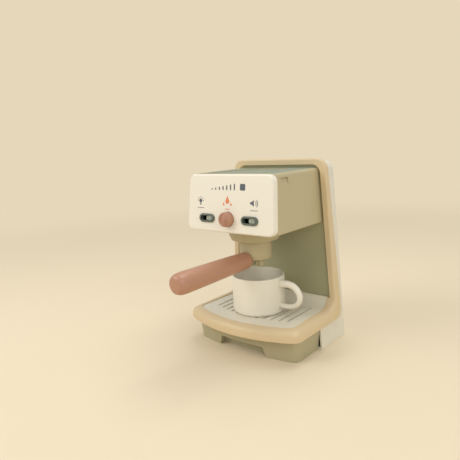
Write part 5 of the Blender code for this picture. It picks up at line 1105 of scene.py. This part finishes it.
def speaker_cone():
    low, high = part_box("speaker")
    depth = high.y - low.y
    profile = eased(
        [
            (0.0003, -depth), (0.0085, -depth, 0.0004), (0.0085, 0.0045 - depth), (0.0150, -0.0020, 0.0004),
            (0.0178, -0.0016, 0.0003), (0.0178, 0.0, 0.0003), (0.0160, 0.0, 0.0003),
            (0.0150, -0.0005, 0.0005),
            (0.0138, 0.0, 0.0005), (0.0128, -0.0006, 0.0003), (0.0070, -0.0042, 0.0004),
            (0.0060, -0.0038, 0.0003),
            (0.0040, -0.0026, 0.0010), (0.0003, -0.0022),
        ],
        4,
    )
    cone = turned("speaker_cone", profile, 72)
    middle = (low + high) / 2
    laid(cone, Matrix.Translation((middle.x, high.y, middle.z)) @ BACKWARDS)
    finished(cone, "machine", "cone", ["speaker"], smooth=40)


def cells():
    """Three dry cells, all turned the same way: sleeve, rolled ends and a cap."""
    radius, half = 0.00715, 0.02465
    profile = eased(
        [
            (0.0003, -half), (0.0048, -half, 0.0002), (0.0052, -half + 0.0005),
            (radius - 0.0004, -half + 0.0003),
            (radius, -half + 0.0012, 0.0005), (radius, half - 0.0012, 0.0005),
            (radius - 0.0008, half - 0.0004),
            (0.0040, half - 0.0004), (0.0027, half - 0.0002), (0.0027, half + 0.0010, 0.0003),
            (0.0003, half + 0.0012),
        ],
        4,
    )
    first = turned("cell", profile, 48)
    for i in range(3):
        low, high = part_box(f"battery_{i + 1}")
        middle = (low + high) / 2
        place = Matrix.Translation((0, middle.y, middle.z)) @ Matrix.Rotation(-math.pi / 2, 4, "Y")
        cell = twin(first, f"cell_{i + 1}", place)
        reach = max(v.co.x for v in cell.data.vertices) - high.x
        laid(cell, Matrix.Translation((-reach, 0, 0)))
        finished(cell, "machine", "cell", [f"battery_{i + 1}"], smooth=40)
    bpy.data.objects.remove(first)


# The solids that keep their own shape

KEPT = {
    "battery_box": "black",
    "battery_contact_left": "steel",
    "battery_contact_right": "steel",
    "circuit_board": "board",
    "light_switch_body": "steel",
    "sound_switch_body": "steel",
    "push_switch": "black",
    "lamp": "lens",
    "pump_motor": "steel",
    "pump_housing": "black",
    "pump_impeller": "white",
    "suction_tube": "tube",
    "outlet_tube": "tube",
    "battery_lead": "sleeve",
    "speaker_lead": "sleeve",
    "pump_lead": "sleeve",
}


def kept_solids():
    for label, look in KEPT.items():
        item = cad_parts[label]
        if not item.material_slots:
            item.data.materials.append(None)
        for slot in item.material_slots:
            slot.material = LOOKS[look]


# Floor, light and camera

FLOOR = (0.78, 0.68, 0.50)
BACKDROP = (0.79, 0.68, 0.49)


def studio():
    """A round pale floor that fades into the air of the same colour, so no horizon shows."""
    bpy.ops.mesh.primitive_circle_add(vertices=96, radius=2.6, fill_type="NGON", location=(0, 0, -0.0001))
    sheet = settled("studio_floor")
    work_on(sheet, "FACE")
    select_all()
    bpy.ops.mesh.inset(thickness=2.0)
    bpy.ops.mesh.inset(thickness=0.3)
    leave()
    material, tree, shader, place = blank("studio_paper")
    fibres = noise(tree, place, 6.0, 3.0)
    tree.links.new(
        blend_colours(tree, fibres, (*FLOOR, 1), tuple(0.97 * value for value in FLOOR) + (1,)),
        shader.inputs["Base Color"],
    )
    tree.links.new(spread(tree, fibres, 0.2, 0.8, 0.85, 0.95), shader.inputs["Roughness"])
    shader.inputs["Specular IOR Level"].default_value = 0.1
    away = node(tree, "ShaderNodeVectorMath", {0: place}, operation="LENGTH").outputs["Value"]
    fade = node(
        tree, "ShaderNodeMapRange",
        {"Value": away, "From Min": 0.35, "From Max": 1.5, "To Min": 1.0, "To Max": 0.0},
        interpolation_type="SMOOTHSTEP",
    ).outputs["Result"]
    tree.links.new(fade, shader.inputs["Alpha"])
    sheet.data.materials.append(material)


def lamp(name, place, aim, size, power, colour):
    light = bpy.data.lights.new(name, "AREA")
    light.shape = "RECTANGLE"
    light.size, light.size_y = size
    light.energy = power
    light.color = colour
    item = bpy.data.objects.new(name, light)
    bpy.context.scene.collection.objects.link(item)
    item.location = place
    item.rotation_euler = (Vector(aim) - Vector(place)).to_track_quat("-Z", "Y").to_euler()


def lights():
    lamp("key_softbox", (-0.85, -1.15, 1.05), (0, -0.06, 0.12), (0.9, 0.9), 11, (1.0, 0.985, 0.96))
    lamp("fill_softbox", (1.25, -0.75, 0.75), (0, -0.04, 0.12), (1.1, 1.1), 7, (1.0, 0.985, 0.96))
    lamp("top_softbox", (0.1, 0.35, 1.45), (0, -0.02, 0.2), (1.0, 0.8), 8, (1.0, 0.98, 0.95))
    world = bpy.data.worlds.new("studio_air")
    world.use_nodes = True
    tree = world.node_tree
    air = tree.nodes["Background"]
    air.inputs["Color"].default_value = (1.0, 0.98, 0.945, 1)
    air.inputs["Strength"].default_value = 0.55
    seen = node(tree, "ShaderNodeBackground", {"Color": (*BACKDROP, 1), "Strength": 1.0})
    rays = node(tree, "ShaderNodeLightPath")
    straight = sums(tree, "MAXIMUM", rays.outputs["Is Camera Ray"], rays.outputs["Is Transmission Ray"])
    mix = node(
        tree, "ShaderNodeMixShader",
        {0: straight, 1: air.outputs["Background"], 2: seen.outputs["Background"]}
    )
    tree.links.new(mix.outputs["Shader"], tree.nodes["World Output"].inputs["Surface"])
    bpy.context.scene.world = world


def camera():
    yaw, pitch, roll = math.radians(40.49), math.radians(10.48), math.radians(-3.07)
    forward = Vector((-math.sin(yaw) * math.cos(pitch), math.cos(yaw) * math.cos(pitch), -math.sin(pitch)))
    right = Vector((math.cos(yaw), math.sin(yaw), 0))
    up = right.cross(forward)
    side = right * math.cos(roll) + up * math.sin(roll)
    above = up * math.cos(roll) - right * math.sin(roll)
    data = bpy.data.cameras.new("photograph_view")
    data.sensor_width = 36
    data.lens = 467.05 / 460 * 36
    item = bpy.data.objects.new("photograph_view", data)
    bpy.context.scene.collection.objects.link(item)
    turn = Matrix((side, above, -forward)).transposed().to_4x4()
    item.matrix_world = Matrix.Translation((0.36932, -0.53843, 0.26935)) @ turn
    bpy.context.scene.camera = item


shells()
control_panel()
switch("light", -1)
switch("sound", 1)
button()
return_spring()
signs()
brewing_group()
grip()
mug()
screws()
speaker_cone()
cells()
kept_solids()
studio()
lights()
camera()
bpy.context.scene.view_settings.view_transform = "Standard"
